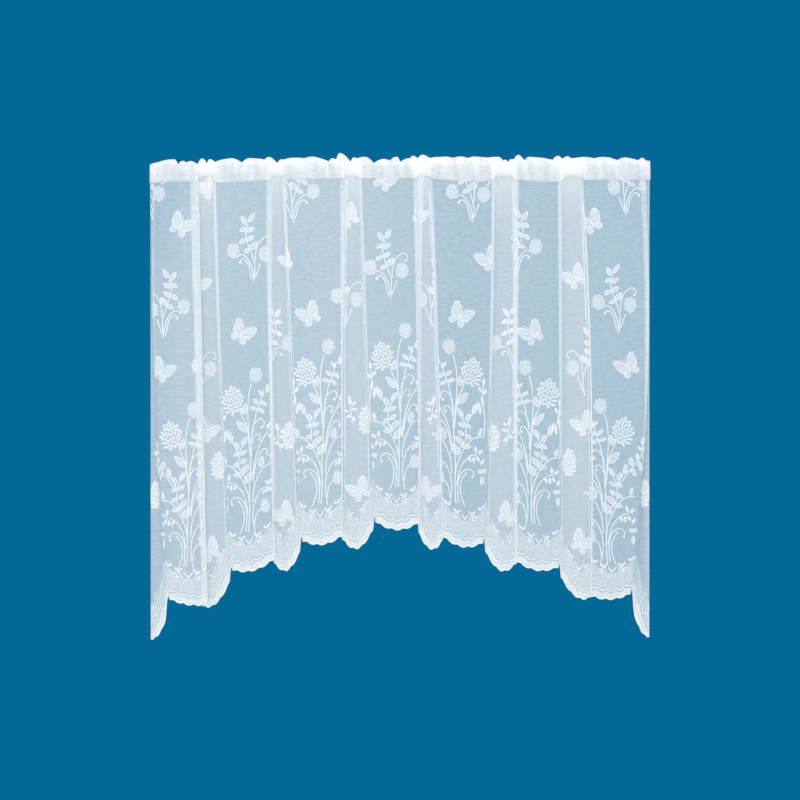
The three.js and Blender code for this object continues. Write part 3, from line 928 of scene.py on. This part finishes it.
# %% The small sprig
SPIKE_STEM = [(0, -2), (3, 18), (3, 38), (-3, 59), (-10, 78), (-15, 94), (-16, 112), (-11, 126)]
LEFT_STEMS = [[(1, 2), (-1, 20), (-6, 38), (-16, 53), (-26, 59), (-36, 53)],
              [(-3, 4), (-6, 16), (-10, 34), (-17.5, 46), (-25, 47.5), (-29, 43)]]
RIGHT_STEMS = [[(4, 8), (8, 18), (12, 30), (16, 40)],
               [(5, 44), (5, 60), (7, 72), (12.5, 85), (21.6, 94.7), (30.5, 97.6), (37.5, 93), (39, 86),
                (35, 82)]]
SPRIG_LEAVES = [
    (-20.6, 134, 122, 24, 10), (-4, 140, 56, 26, 10), (-23, 113.5, 208, 17, 9.5), (-6, 114, 32, 19, 10),
    (-24, 87.5, 216, 18, 9.5), (-6, 95, 34, 19, 10), (1, 79, 52, 24, 12), (-14, 67, 206, 17, 9.5),
]
SPIKE = leaves(SPRIG_LEAVES) + stems([SPIKE_STEM])
LEFT_SIDE = seed_head(-44, 67, 32, 39) + knots([(-29, 42, 0, 6, 6)]) + stems(LEFT_STEMS)
RIGHT_SIDE = seed_head(26, 60, 33, 40) + knots([(34.5, 81.5, 0, 5, 5)]) + stems(RIGHT_STEMS)
LEFT_SPRIG, RIGHT_SPRIG, SPRIG = SPIKE + LEFT_SIDE, SPIKE + RIGHT_SIDE, SPIKE + LEFT_SIDE + RIGHT_SIDE
print("slabs in a sprig:", sum(len(shape) for _, shape in SPRIG))

# %% [markdown]
# ## The butterfly
#
# Four closely knitted wings with a denser rim, each with two see-through veins, a slim body and two
# feelers. It is drawn flying straight up and then turned by about thirty degrees.

# %% The butterfly
FLIGHT_ANGLE = -31
FORE_WING = ([(0.5, -4), (3, 8), (8, 15), (12.5, 19.5), (18.5, 23), (24.5, 21)],
             [(1, -9), (7, -10.5), (13.5, -10.5), (19.5, -8), (23, -1), (25.5, 9), (25.8, 17)])
HIND_WING = ([(1, -8), (6, -9.5), (10.5, -10.5), (15.5, -11.5), (18.5, -15)],
             [(1, -14), (3, -19), (6.5, -23.5), (11.5, -25), (16.5, -23), (18.7, -18.5)])
WING_FIELDS, WING_RIMS = ((0, 0.3), (0.34, 0.64), (0.68, 1)), ((0, 0.09), (0.91, 1))
WING_TIPS = [(23, 18, 0, 6, 8), (-23, 18, 0, 6, 8), (16.5, -18, 0, 5, 8), (-16.5, -18, 0, 5, 8)]
BODY = [(0, -5, 90, 20, 4)]
FEELER, FEELER_WIDTH = np.array([(0.6, 5), (3, 13), (8, 21)]), 1.1


def turned(figure, degrees):
    """The figure turned about its foot."""
    a = np.radians(degrees)
    rotation = np.array([[np.cos(a), np.sin(a)], [-np.sin(a), np.cos(a)]])
    return [(knit, shape @ rotation) for knit, shape in figure]


def wing(edges, places, rows=13):
    """Surface between the two edges of a wing, from its root to its tip, and its mirror image.

    places run from 0 at one edge to 1 at the other.
    """
    front, back = (smooth_path(edge, rows) for edge in edges)
    share = np.asarray(places)[None, :, None]
    right = front[:, None] * (1 - share) + back[:, None] * share
    return np.stack((right, (right * (-1, 1))[:, ::-1]))


def butterfly():
    """Wings of three close fields each with a dense rim, a slim body and two feelers."""
    parts = []
    for edges in (FORE_WING, HIND_WING):
        parts += [("close", wing(edges, np.linspace(*field, 3))) for field in WING_FIELDS]
        parts += [("dense", wing(edges, rim)) for rim in WING_RIMS]
    parts += [("close", blades(WING_TIPS, "round", rows=5)), ("dense", blades(BODY, "round"))]
    return parts + [("dense", strip(FEELER * (side, 1), FEELER_WIDTH)) for side in (1, -1)]


BUTTERFLY = turned(butterfly(), FLIGHT_ANGLE)
print("slabs in a butterfly:", sum(len(shape) for _, shape in BUTTERFLY))

# %% [markdown]
# ## Where the figures are
#
# The pattern is mirrored left and right about a line near the middle. Each row gives the breadth, by
# its number from the left, the x and z where the figure's foot hangs, and +1 or -1 for its side. Every
# knit has its own lift off the net, so that no two of them lie in the same surface, and all that is
# knitted in one knit is one piece.

# %% Where the figures are
PLACES = [  # breadth, x and z of the foot, side
    (BOUQUET, [(3, -335, -790, 1), (5, -176, -728, 1), (7, -7, -693, 1), (9, 126, -728, -1),
               (11, 293, -774, -1)]),
    (END_BOUQUET, [(1, -471, -867, 1), (13, 458, -858, -1)]),
    (SPRIG, [(1, -518, -363, -1), (3, -322, -240, 1), (5, -234, -109, -1), (7, -22, -276, 1),
             (9, 158, -109, 1), (1, -556, -107, 1), (11, 254, -230, -1), (13, 479, -352, 1),
             (13, 496, -93, -1), (2, -445, -492, 1), (6, -122, -338, 1)]),
    (LEFT_SPRIG, [(4, -290, -442, -1), (10, 254, -441, 1)]),
    (RIGHT_SPRIG, [(8, 72, -338, -1), (12, 407, -489, -1)]),
    (BUTTERFLY, [(1, -522, -434, 1), (1, -480, -115, 1), (3, -345, -351, 1), (5, -200, -311, -1),
                 (7, -33, -14, 1), (9, 133, -313, 1), (9, 193, -189, -1), (11, 288, -352, -1),
                 (13, 419, -108, -1), (13, 499, -425, -1), (2, -446, -242, 1), (2, -422, -30, -1),
                 (2, -427, -566, 1), (4, -238, -192, -1), (6, -115, -94, -1), (8, 34, -93, 1),
                 (12, 384, -228, -1), (12, 404, -552, -1), (2, -422, -831, -1), (4, -259, -751, -1),
                 (6, -91, -697, -1), (8, 63, -698, 1), (10, 241, -752, 1), (12, 403, -813, 1)]),
    (SIDE_FLOWER, [(2, -401, -646, 1), (4, -245, -580, 1), (6, -76, -545, 1), (10, 205, -585, -1),
                   (12, 373, -639, -1), (0, -539, -711, -1), (14, 538, -707, 1)]),
    (SIDE_SPRAY, [(6, -110, -524, 1), (8, 73, -524, -1), (4, -270, -584, 1), (10, 241, -570, -1)]),
]
DENSER = {"thin": "half", "half": "dense", "close": "petal"}  # what a knit becomes on narrow breadths
UNDER_TOP = 0.2


class Knit(NamedTuple):
    """A knit's lift off the net, how much more of it in the middle of a blade, and its piece."""
    lift: float
    crown: float
    finish: bpy.types.Material
    piece: str


KNITS = {
    "dense": Knit(0.62, 0.35, FIGURE_KNIT, "knitted_stems_and_rims"),
    "petal": Knit(0.57, 0.35, PETAL_KNIT, "knitted_petals_and_strokes"),
    "close": Knit(0.52, 0.35, CLOSE_KNIT, "knitted_wings"),
    "half": Knit(0.42, 0.0, HALF_KNIT, "half_dense_leaf_fields"),
    "thin": Knit(0.36, 0.0, THIN_KNIT, "thin_middles_of_seed_heads"),
}
FIGURES = {knit: Layers() for knit in KNITS}


def hang_figure(figure, breadth, x, z, side):
    """Hangs a flat figure on the folded cloth, with its foot at x and z on the named breadth.

    The figure stands on an upright thread, which is at x at each level, or as far round the fold as x
    is past the breadth's side. At each level, a point lies its distance from that thread along the
    folds, so the figure keeps its size and turns with the cloth. What is off the cloth altogether is
    left out. On the narrow breadths the knits of its figures are denser.
    """
    columns = PARTS[2 * breadth].columns
    across = TABLE[0, :, columns]
    thread = np.array([np.interp(x, *row) for row in zip(across, ARC[:, columns])])
    thread += x - np.clip(x, across[:, 0], across[:, -1])
    for knit, shape in figure:
        if breadth % 2 == 0:
            knit = DENSER.get(knit, knit)
        height = np.minimum(z + shape[..., 1], TOP - UNDER_TOP)
        down = (TOP - height) / LEVEL_STEP
        upper = np.clip(np.floor(down), 0, len(LEVELS) - 2).astype(int)
        arcs = [thread[upper + i] + side * shape[..., 0] for i in (0, 1)]
        places = [between(COLUMN_AT, (upper + i).astype(float), arc) for i, arc in enumerate(arcs)]
        column = places[0] + (places[1] - places[0]) * (down - upper)
        inside = (arcs[0] > 0) & (arcs[0] < ARC[upper, -1]) & (z + shape[..., 1] < TOP)
        kept = inside.any(axis=(1, 2))
        column, height, arc = column[kept], height[kept], arcs[0][kept]
        across_blade = np.arange(shape.shape[2])
        crown = KNITS[knit].crown * (len(across_blade) == 3) * (across_blade == 1)
        lift = KNITS[knit].lift + crown
        FIGURES[knit].add(on_cloth(column, height, lift), on_cloth(column, height, -lift),
                          np.stack((arc, height), axis=-1), turned=side < 0)


for figure, rows in PLACES:
    for row in rows:
        hang_figure(figure, *row)
figure_pieces = [FIGURES[name].piece(knit.piece, knit.finish, "figured_knit")
                 for name, knit in KNITS.items()]

# %% [markdown]
# ## The lace border
#
# The border follows the hem. From the edge up it has a bright cord, a dense band, a wavy row of
# openwork, a narrow band, and a lace ground. The ground's upper line dips over the middle of each
# scallop and rises to a point between two. A place in the border is a place along the hem and a
# height above it. Up to 20 mm the height is taken square to the hem, so the band keeps its width
# round the scallops, and above that straight up.

# %% Places in the lace border
SQUARE_HEIGHT = 20
BESIDE_PLACE = 0.02  # share of a scallop over which its slope is taken
STEEP_SLOPE = 0.4  # what counts of the slope in a narrow breadth's scallop
TEETH_AT = ((0, 16, 26, 50), (1.0, 1.5, 1.7, 0.0))  # heights, and how much of the teeth shows there


def border_place(place, height):
    """Column and z of a point in the border: the hem point, moved square to it and then up.

    Square means along (-slope, 1) / sqrt(1 + slope^2). The slope is faded out near the joints of the
    scallops with sin(pi s)^0.7, so that the border meets itself there, and counts less in the steep
    scallops of the narrow breadths. The hem's teeth show in the rows above it too, up to 1.7 times
    as deep, and they are gone 50 mm up.
    """
    place, height = np.broadcast_arrays(np.asarray(place, float), np.asarray(height, float))
    number = np.clip(np.floor(place), 0, len(SCALLOPS) - 1)
    share = place - number
    arc = np.interp(place, np.arange(len(JOINTS)), JOINT_ARC)
    inner = np.clip(place, number + BESIDE_PLACE, number + 1 - BESIDE_PLACE)
    rise = hem_line(inner + BESIDE_PLACE / 2, 0) - hem_line(inner - BESIDE_PLACE / 2, 0)
    width = WIDTHS[number.astype(int)] * BESIDE_PLACE
    slope = rise / width * np.sin(np.pi * np.clip(share, 0, 1)) ** 0.7
    slope = np.where(number % 2 == 0, STEEP_SLOPE * slope, slope)
    square = np.minimum(height, SQUARE_HEIGHT) / np.sqrt(1 + slope ** 2)
    teeth = np.interp(height, *TEETH_AT)
    z = hem_line(place, teeth) + square + np.maximum(height - SQUARE_HEIGHT, 0)
    return np.interp(arc - slope * square, HEM_ARC, np.arange(COLUMNS)), z


def border_layer(layers, place, height, lift):
    """Adds slabs of the border: arrays (slabs, rows, columns) of places and heights."""
    place, height = np.broadcast_arrays(place, height)
    column, z = border_place(place, height)
    flat = np.stack((np.interp(place, np.arange(len(JOINTS)), JOINT_ARC), z), axis=-1)
    layers.add(on_cloth(column, z, lift), on_cloth(column, z, -lift), flat)


_, z_in_middle = border_place(len(SCALLOPS) / 2, SQUARE_HEIGHT)
print(f"{SQUARE_HEIGHT} mm above the middle of the hem, z is {float(z_in_middle):.0f}")

# %% [markdown]
# The bands and the cord are long slabs from one side of the curtain to the other. The lace ground
# starts above the narrow band and ends in its dipping upper line, and its rows are spread between.

# %% Bands, cord and lace ground
STEPS_IN_SCALLOP = 60
CORD_ROW, BAND_ROWS = (-0.4, 3.0, 0.75), ((1.5, 15.8, 0.5), (18.6, 23.6, 0.6))  # low, high and lift
GROUND_FROM, GROUND_TO, GROUND_POINT, GROUND_LIFT = 26, 55, 22, 0.46
ALONG = np.arange(0, len(SCALLOPS) + 0.5 / STEPS_IN_SCALLOP, 1 / STEPS_IN_SCALLOP)


def lace_top(share):
    """Height of the lace ground: 55 mm in the middle of a scallop and 22 mm more at its ends."""
    return GROUND_TO + GROUND_POINT * (2 * share - 1) ** 2


def band_along(layers, low, high, lift, rows):
    """A slab along the whole hem, between two heights above it."""
    heights = np.linspace(low, high, rows)[None, :, None]
    border_layer(layers, ALONG[None, None], np.broadcast_to(heights, (1, rows, len(ALONG))), lift)


edge_cord, band, lace = Layers(), Layers(), Layers()
band_along(edge_cord, *CORD_ROW, rows=2)
for row in BAND_ROWS:
    band_along(band, *row, rows=4)
above = lace_top(ALONG % 1) - GROUND_FROM
ground_height = GROUND_FROM + np.linspace(0, 1, 8)[:, None] * above[None]
border_layer(lace, np.broadcast_to(ALONG, ground_height.shape)[None], ground_height[None], GROUND_LIFT)
print(f"{len(ALONG)} steps along the hem, lace up to {ground_height.max():.0f} mm above it")

# %% [markdown]
# On the lace ground a net of fine slanting threads makes small diamonds. Under each bouquet a V of
# cord closes the border, with two short lines under it that make it a cross. Beside it sit bows of
# three leaves and a curl, and further out a pair of small leaves.

# %% Diamonds, V and bows
DIAMOND, DIAMOND_LIFT, BOW_LIFT = 8.5, 0.55, 0.68
THREAD_LOW, THREAD_HIGH, THREAD_LEAN, THREAD_HALF = 25, 54, 0.85 * 56, 0.45
FIRST_THREAD, GROUND_HALF = 80, 52  # in x from the middle of the scallop
CUT_SHORT = 1  # the threads end this far below the ground's upper line
NARROWEST = 0.8 * SCALLOP_PITCH  # on a scallop narrower than this, shapes are squeezed with it
BOW_LEAVES = np.array([  # centre x, height, direction, length, width
    (25, 69, 34, 14, 6.4), (27, 60.5, 4, 12, 5), (25.5, 54, -24, 10, 4.4),
    (37.5, 75.5, 125, 10.5, 4.6), (44, 75.5, 52, 11.5, 5)])
CURL_ENDS = [(14.4, 73.5, 0, 5.6, 5.2), (-14.4, 73.5, 0, 5.6, 5.2)]
V_LINE, V_WIDTH = [(-10.5, 68), (-5.5, 62.5), (0, 58), (5.5, 62.5), (10.5, 68)], 3.8
CURL, CURL_WIDTH = np.array([(15, 54), (17.5, 60), (18.7, 67), (17.4, 72.5), (14.5, 74)]), 2.8
CROSSING, CROSSING_WIDTH = np.array([(-10, 46.5), (-6, 50), (-1.5, 54)]), 2.0


def slanting_threads(lean):
    """Threads that lean by this much over their height, cut off at the ends of the lace ground."""
    first, up = np.arange(-FIRST_THREAD, FIRST_THREAD + DIAMOND, DIAMOND), np.linspace(0, 1, 9)
    x = first[:, None] + lean * up[None]
    height = np.broadcast_to(THREAD_LOW + THREAD_HIGH * up, x.shape)
    inside = (np.abs(x) < GROUND_HALF) & (height < lace_top(0.5 + x / SCALLOP_PITCH) - CUT_SHORT)
    kept = inside.sum(axis=1) > 2
    x, height = np.clip(x[kept], -GROUND_HALF, GROUND_HALF), height[kept]
    height = np.minimum(height, lace_top(0.5 + x / SCALLOP_PITCH) - CUT_SHORT)
    edges = [np.stack((x + half, height), axis=-1) for half in (-THREAD_HALF, THREAD_HALF)]
    return np.stack(edges, axis=2)


def hang_on_border(layers, shape, centre, lift):
    """Hangs flat shapes whose x is along the hem from a scallop's centre and z the height above it."""
    number = int(min(max(np.floor(centre), 0), len(SCALLOPS) - 1))
    place = centre + shape[..., 0] / max(WIDTHS[number], NARROWEST)
    kept = ((place > 0) & (place < len(SCALLOPS))).any(axis=(1, 2))
    border_layer(layers, np.clip(place[kept], 0, len(SCALLOPS)), shape[kept][..., 1], lift)


DIAMONDS = [slanting_threads(lean) for lean in (-THREAD_LEAN, THREAD_LEAN)]
MIRRORED_LEAVES = BOW_LEAVES * (-1, 1, -1, 1, 1) + (0, 0, 180, 0, 0)
BORDER_SHAPES = [blades(np.concatenate((BOW_LEAVES, MIRRORED_LEAVES)), "leaf"),
                 blades(CURL_ENDS, "round", rows=5), strip(V_LINE, V_WIDTH)]
for side in (-1, 1):
    BORDER_SHAPES += [strip(CURL * (side, 1), CURL_WIDTH), strip(CROSSING * (side, 1), CROSSING_WIDTH)]
slanting, border_figures = Layers(), Layers()
for centre in [0.0, *(np.arange(1, len(SCALLOPS) - 1) + 0.5), float(len(SCALLOPS))]:
    for shape in DIAMONDS:
        hang_on_border(slanting, shape, centre, DIAMOND_LIFT)
    for shape in BORDER_SHAPES:
        hang_on_border(border_figures, shape, centre, BOW_LIFT)
border_pieces = [layers.piece(name, finish, "lace_border") for layers, name, finish in (
    (edge_cord, "hem_cord", YARN), (band, "dense_hem_bands", BORDER_KNIT),
    (lace, "lace_ground", LACE_GROUND), (slanting, "lace_diamonds", CLOSE_KNIT),
    (border_figures, "border_bows", FIGURE_KNIT))]

# %% [markdown]
# ## The gathered heading
#
# The top of the net is folded over and stitched twice. Here it is one loop of cloth in section: up the
# front of the casing, in to the upper stitches, up the ruffle, over its edge and down the back. The
# rod would pass between the two walls, so nothing fills the slot.
#
# The gathers aren't even. The ruffle's edge rises and falls, with a sharp dip wherever two gathers
# meet, and each row of its table has such a dip and the crest after it. The lower edge wanders by a few
# millimetres, and above each narrow breadth it is drawn up into an arch, where the cloth is bunched
# tightly on the rod. Bunched cloth lies in more layers and looks whiter, so the mesh carries an
# attribute of how bunched each place is, with painted shade of the folded bits on the ruffle, and the
# finish mixes its two whites by it.

# %% Outline of the heading
HEADING_STEP = 1.5
CASING_HIGH, ARCH_HIGH = 17.4, -7.0
RUFFLE = np.array([  # x and height of a dip, x and height of the crest after it
    (-556, 14, -496, 28.8), (-488, 17.2, -477, 25.7), (-470, 22, -461, 25.3),
    (-445, 17.8, -435, 30.8), (-424, 18.9, -418, 29.5), (-407, 23.3, -372, 31),
    (-347, 22, -330, 31.9), (-298, 28.4, -289, 34), (-270, 20.2, -261, 29.5),
    (-255, 28.4, -233, 32.6), (-210, 31.2, -196, 35), (-156, 23.8, -149, 31.2),
    (-140, 28.6, -133, 42.7), (-108, 23.8, -102, 32.8), (-94, 30.8, -78, 34.3),
    (-57, 20.9, -36, 29.7), (-21, 26.4, -7, 34.5), (1, 23.3, 19, 31.2), (22, 30.8, 29, 37),
    (40, 30.8, 49, 38.5), (66, 31.7, 99, 35), (116, 32.1, 136, 35), (151, 32.1, 161, 35),
    (194, 32.3, 216, 34.8), (228, 25.3, 232, 28.4), (238, 22, 244, 29.3), (251, 28.9, 260, 38.3),
    (274, 26.4, 284, 34.5), (336, 27.7, 348, 36.7), (357, 30.1, 369, 35.6), (376, 30.8, 414, 33.9),
    (427, 30.8, 444, 34.3), (479, 27.1, 495, 33.2), (524, 26.4, 533, 31.9), (540, 26.4, 552, 25),
    (560, 24, 561, 24)])
LOWER_EDGE = np.array([  # x and height
    (-550, -24), (-504, -21), (-462, -21), (-383, -23), (-299, -17), (-255, -17), (-183, -14),
    (-88, -13.5), (2, -13), (70, -14), (110, -18.5), (183, -20.5), (207, -15.5), (262, -17.5),
    (330, -22), (396, -17), (550, -17.5)])
NARROW = np.array([(left.edge[0], right.edge[0])  # sides of the narrow breadths at the heading
                   for left, right in zip(TURNS, TURNS[1:]) if left.way == "back"])
ARCH_SHIFT, ARCH_WIDER = 1, 2  # an arch starts 1 mm right of its breadth and is 2 mm wider


def ruffle_height(x):
    """Upper edge: from dip to crest as sin(pi s/2)^0.8, from crest to dip as cos(pi s/2)."""
    i = np.searchsorted(RUFFLE[:, 0], x, side="right") - 1
    (dip_x, dip, crest_x, crest), (next_x, next_dip) = RUFFLE[i].T, RUFFLE[i + 1, :2].T
    rising = np.clip((x - dip_x) / (crest_x - dip_x), 0, 1)
    falling = np.clip((x - crest_x) / (next_x - crest_x), 0, 1)
    return np.where(x < crest_x, dip + (crest - dip) * np.sin(np.pi / 2 * rising) ** 0.8,
                    next_dip + (crest - next_dip) * np.cos(np.pi / 2 * falling))


def in_narrow(x):
    """How far a place is inside a narrow breadth: (1 - |2s-1|^3)^0.6, and 0 outside of all.

    s goes from 0 to 1 across the arch over the breadth.
    """
    left, right = NARROW.T
    s = (x[:, None] - left - ARCH_SHIFT) / (right - left + ARCH_WIDER)
    return (np.clip(1 - np.abs(2 * s - 1) ** 3, 0, 1) ** 0.6).max(axis=1)


def beside_narrow(x):
    """Nearness to a narrow breadth: exp(-(distance/7)^2)."""
    left, right = NARROW.T
    distance = np.maximum(np.maximum(left - x[:, None], x[:, None] - right), 0)
    return np.exp(-(distance / 7) ** 2).max(axis=1)


def tucks(x):
    """Grooves that run down from the dips: exp(-(distance/3.5)^2)."""
    return np.exp(-((x[:, None] - RUFFLE[:, 0]) / 3.5) ** 2).max(axis=1)


def gathers(x, share):
    """Uneven gathers, half a millimetre deep each: waves 12, 27 and 57 mm long.

    The quick ones are strongest near the upper stitches. A wave of length l is sin(2 pi x/l), and
    its phase sways by a longer sine, so that no two gathers are alike.
    """
    quick = 0.5 * np.sin(x / 1.9 + 1.9 * np.sin(x / 17)) * share
    slow = (0.5 * np.sin(x / 4.3 + 1.4 * np.sin(x / 41 + 2))
            + 0.5 * np.sin(x / 9.1 + 2 * share + 1.2 * np.sin(x / 29)))
    return quick + slow


print(f"{len(RUFFLE)} dips, ruffle up to {RUFFLE[:, 3].max() - CASING_HIGH:.0f} mm high")

# %% [markdown]
# In section each row of the heading has a share: 0 at the lower edge, 1 at the upper stitches and 2 at
# the edge of the ruffle. At the lower edge the walls lie against the net, and above it they bulge
# round the slot. Over a narrow breadth both walls are drawn up into the arch.

# %% The walls of the heading
SECTION = np.array([  # share, half depth, how much the gathers push
    (0.00, 6.6, 0.3), (0.07, 6.9, 0.4), (0.16, 7.4, 0.5), (0.28, 8.0, 0.6), (0.42, 8.4, 0.7),
    (0.58, 8.3, 0.8), (0.74, 7.4, 0.9), (0.87, 5.8, 0.9), (0.95, 3.9, 0.8), (1.00, 2.2, 0.7),
    (1.08, 1.7, 0.8), (1.25, 1.6, 1.0), (1.50, 1.6, 1.0), (1.75, 1.6, 1.0), (1.92, 1.3, 1.0),
    (2.00, 0.5, 1.0)])
heading_x = np.linspace(-HALF_WIDTH, HALF_WIDTH, int(2 * HALF_WIDTH / HEADING_STEP))
crest, narrow, groove = ruffle_height(heading_x), in_narrow(heading_x), tucks(heading_x)
low = np.interp(heading_x, *LOWER_EDGE.T)
net_turns = np.array([row.edge[0] for row in TURNS])
net_side = np.where(np.searchsorted(net_turns, heading_x) % 2 == 1, -1.0, 1.0)
NEIGHBOURS = 3  # on each side, over which the step at a turn is smoothed
smoothing = np.ones(2 * NEIGHBOURS + 1) / (2 * NEIGHBOURS + 1)
net_depth = np.convolve(np.pad(net_side, NEIGHBOURS, mode="edge"), smoothing, mode="valid")
net_depth = net_depth * DEPTH_AT[1][0]
GROOVE_DEPTH, RUFFLE_GATHERS = 1.6, 0.8
BEHIND_NET, BEFORE_NET = 1.9, 4.4
# Over a narrow breadth the front wall stands this much further back and follows the net more.
FURTHER_BACK, FOLLOWS, FOLLOWS_MORE = 3.6, 0.3, 0.8


def wall(side):
    """x, y, z of the front (side -1) or back (side 1) wall, its rows in the order of the loop.

    y is side times the half depth with its gathers and grooves. Near the lower edge it passes to
    the net's own depth with (1 - share/reach)^2, where reach is 0.3, or 0.6 over a narrow breadth.
    The ruffle sways by two sine waves.
    """
    share, half, pushed = SECTION[::-side].T[:, :, None]
    x = np.broadcast_to(heading_x, (len(SECTION), len(heading_x)))
    start = low + (ARCH_HIGH - low) * narrow
    on_casing = start + (CASING_HIGH - start) * share
    on_ruffle = CASING_HIGH + (crest - CASING_HIGH) * (share - 1)
    z = np.where(share < 1, on_casing, on_ruffle)
    sway = np.clip(share - 1, 0, 1) * (2.4 * np.sin(x / 11) + 1.9 * np.sin(x / 4.7 + 1))
    uneven = gathers(x, np.minimum(share, 1)) * pushed - GROOVE_DEPTH * groove * share
    bulge = side * (half + uneven * (share < 1))
    against_net = net_depth + BEHIND_NET
    if side < 0:
        against_net = (FOLLOWS + FOLLOWS_MORE * narrow) * net_depth - BEFORE_NET + FURTHER_BACK * narrow
    near = np.clip(1 - share / (0.3 + 0.3 * narrow), 0, 1) ** 2
    sway = sway + RUFFLE_GATHERS * gathers(x, 1.0) * (share >= 1)
    return np.stack((x, bulge * (1 - near) + against_net * near + sway, z), axis=-1)


loop = np.concatenate((wall(-1), wall(1)))
steps_round = np.linalg.norm(np.diff(loop, axis=0), axis=-1).mean(axis=1)
measure = np.concatenate(([0], np.cumsum(steps_round)))
FULLNESS = HEM_ARC[-1] / (2 * HALF_WIDTH)
print(f"{measure[-1]:.0f} mm of cloth in the section, gathered to 1/{FULLNESS:.2f} of its width")

# %% [markdown]
# The finish reads how bunched the cloth is from an attribute. That is most over the narrow breadths and
# in streaks beside them, more near the upper stitches and on the ruffle than below, and a little uneven
# everywhere; on the ruffle the unevenness is painted shade of its folded bits.

# %% The gathered heading
STREAKS, UPPER_WHITE = 0.7, 0.38
heading_flat = np.stack((FULLNESS * loop[..., 0],
                         np.broadcast_to(measure[:, None], loop.shape[:2])), axis=-1)
shares = np.concatenate((SECTION[:, 0], SECTION[::-1, 0]))[:, None]
streaky = 0.6 + 0.4 * np.sin(heading_x / 2.1 + 2 * np.sin(heading_x / 9))
streaks = STREAKS * np.maximum(narrow, beside_narrow(heading_x) * streaky)
# tone that wanders across the heading; on the ruffle it is painted shade of the folded bits
uneven = (0.12 * np.sin(heading_x / 7 + 2 * np.sin(heading_x / 23) + 1.5 * shares)
          + 0.07 * np.sin(heading_x / 2.9))
upper = UPPER_WHITE * np.clip((shares - 0.45) / 0.6, 0, 1) ** 2
bunched_and_painted_shade = upper + streaks * np.clip(2.2 - shares, 0.3, 1) + uneven
heading = new_piece("gathered_heading", loop.reshape(-1, 3), grid_faces(*loop.shape[:2]),
                    heading_flat.reshape(-1, 2), [GATHERED], {"bunched_and_painted_shade": bunched_and_painted_shade})
thicken(heading)
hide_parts("slot_heading")
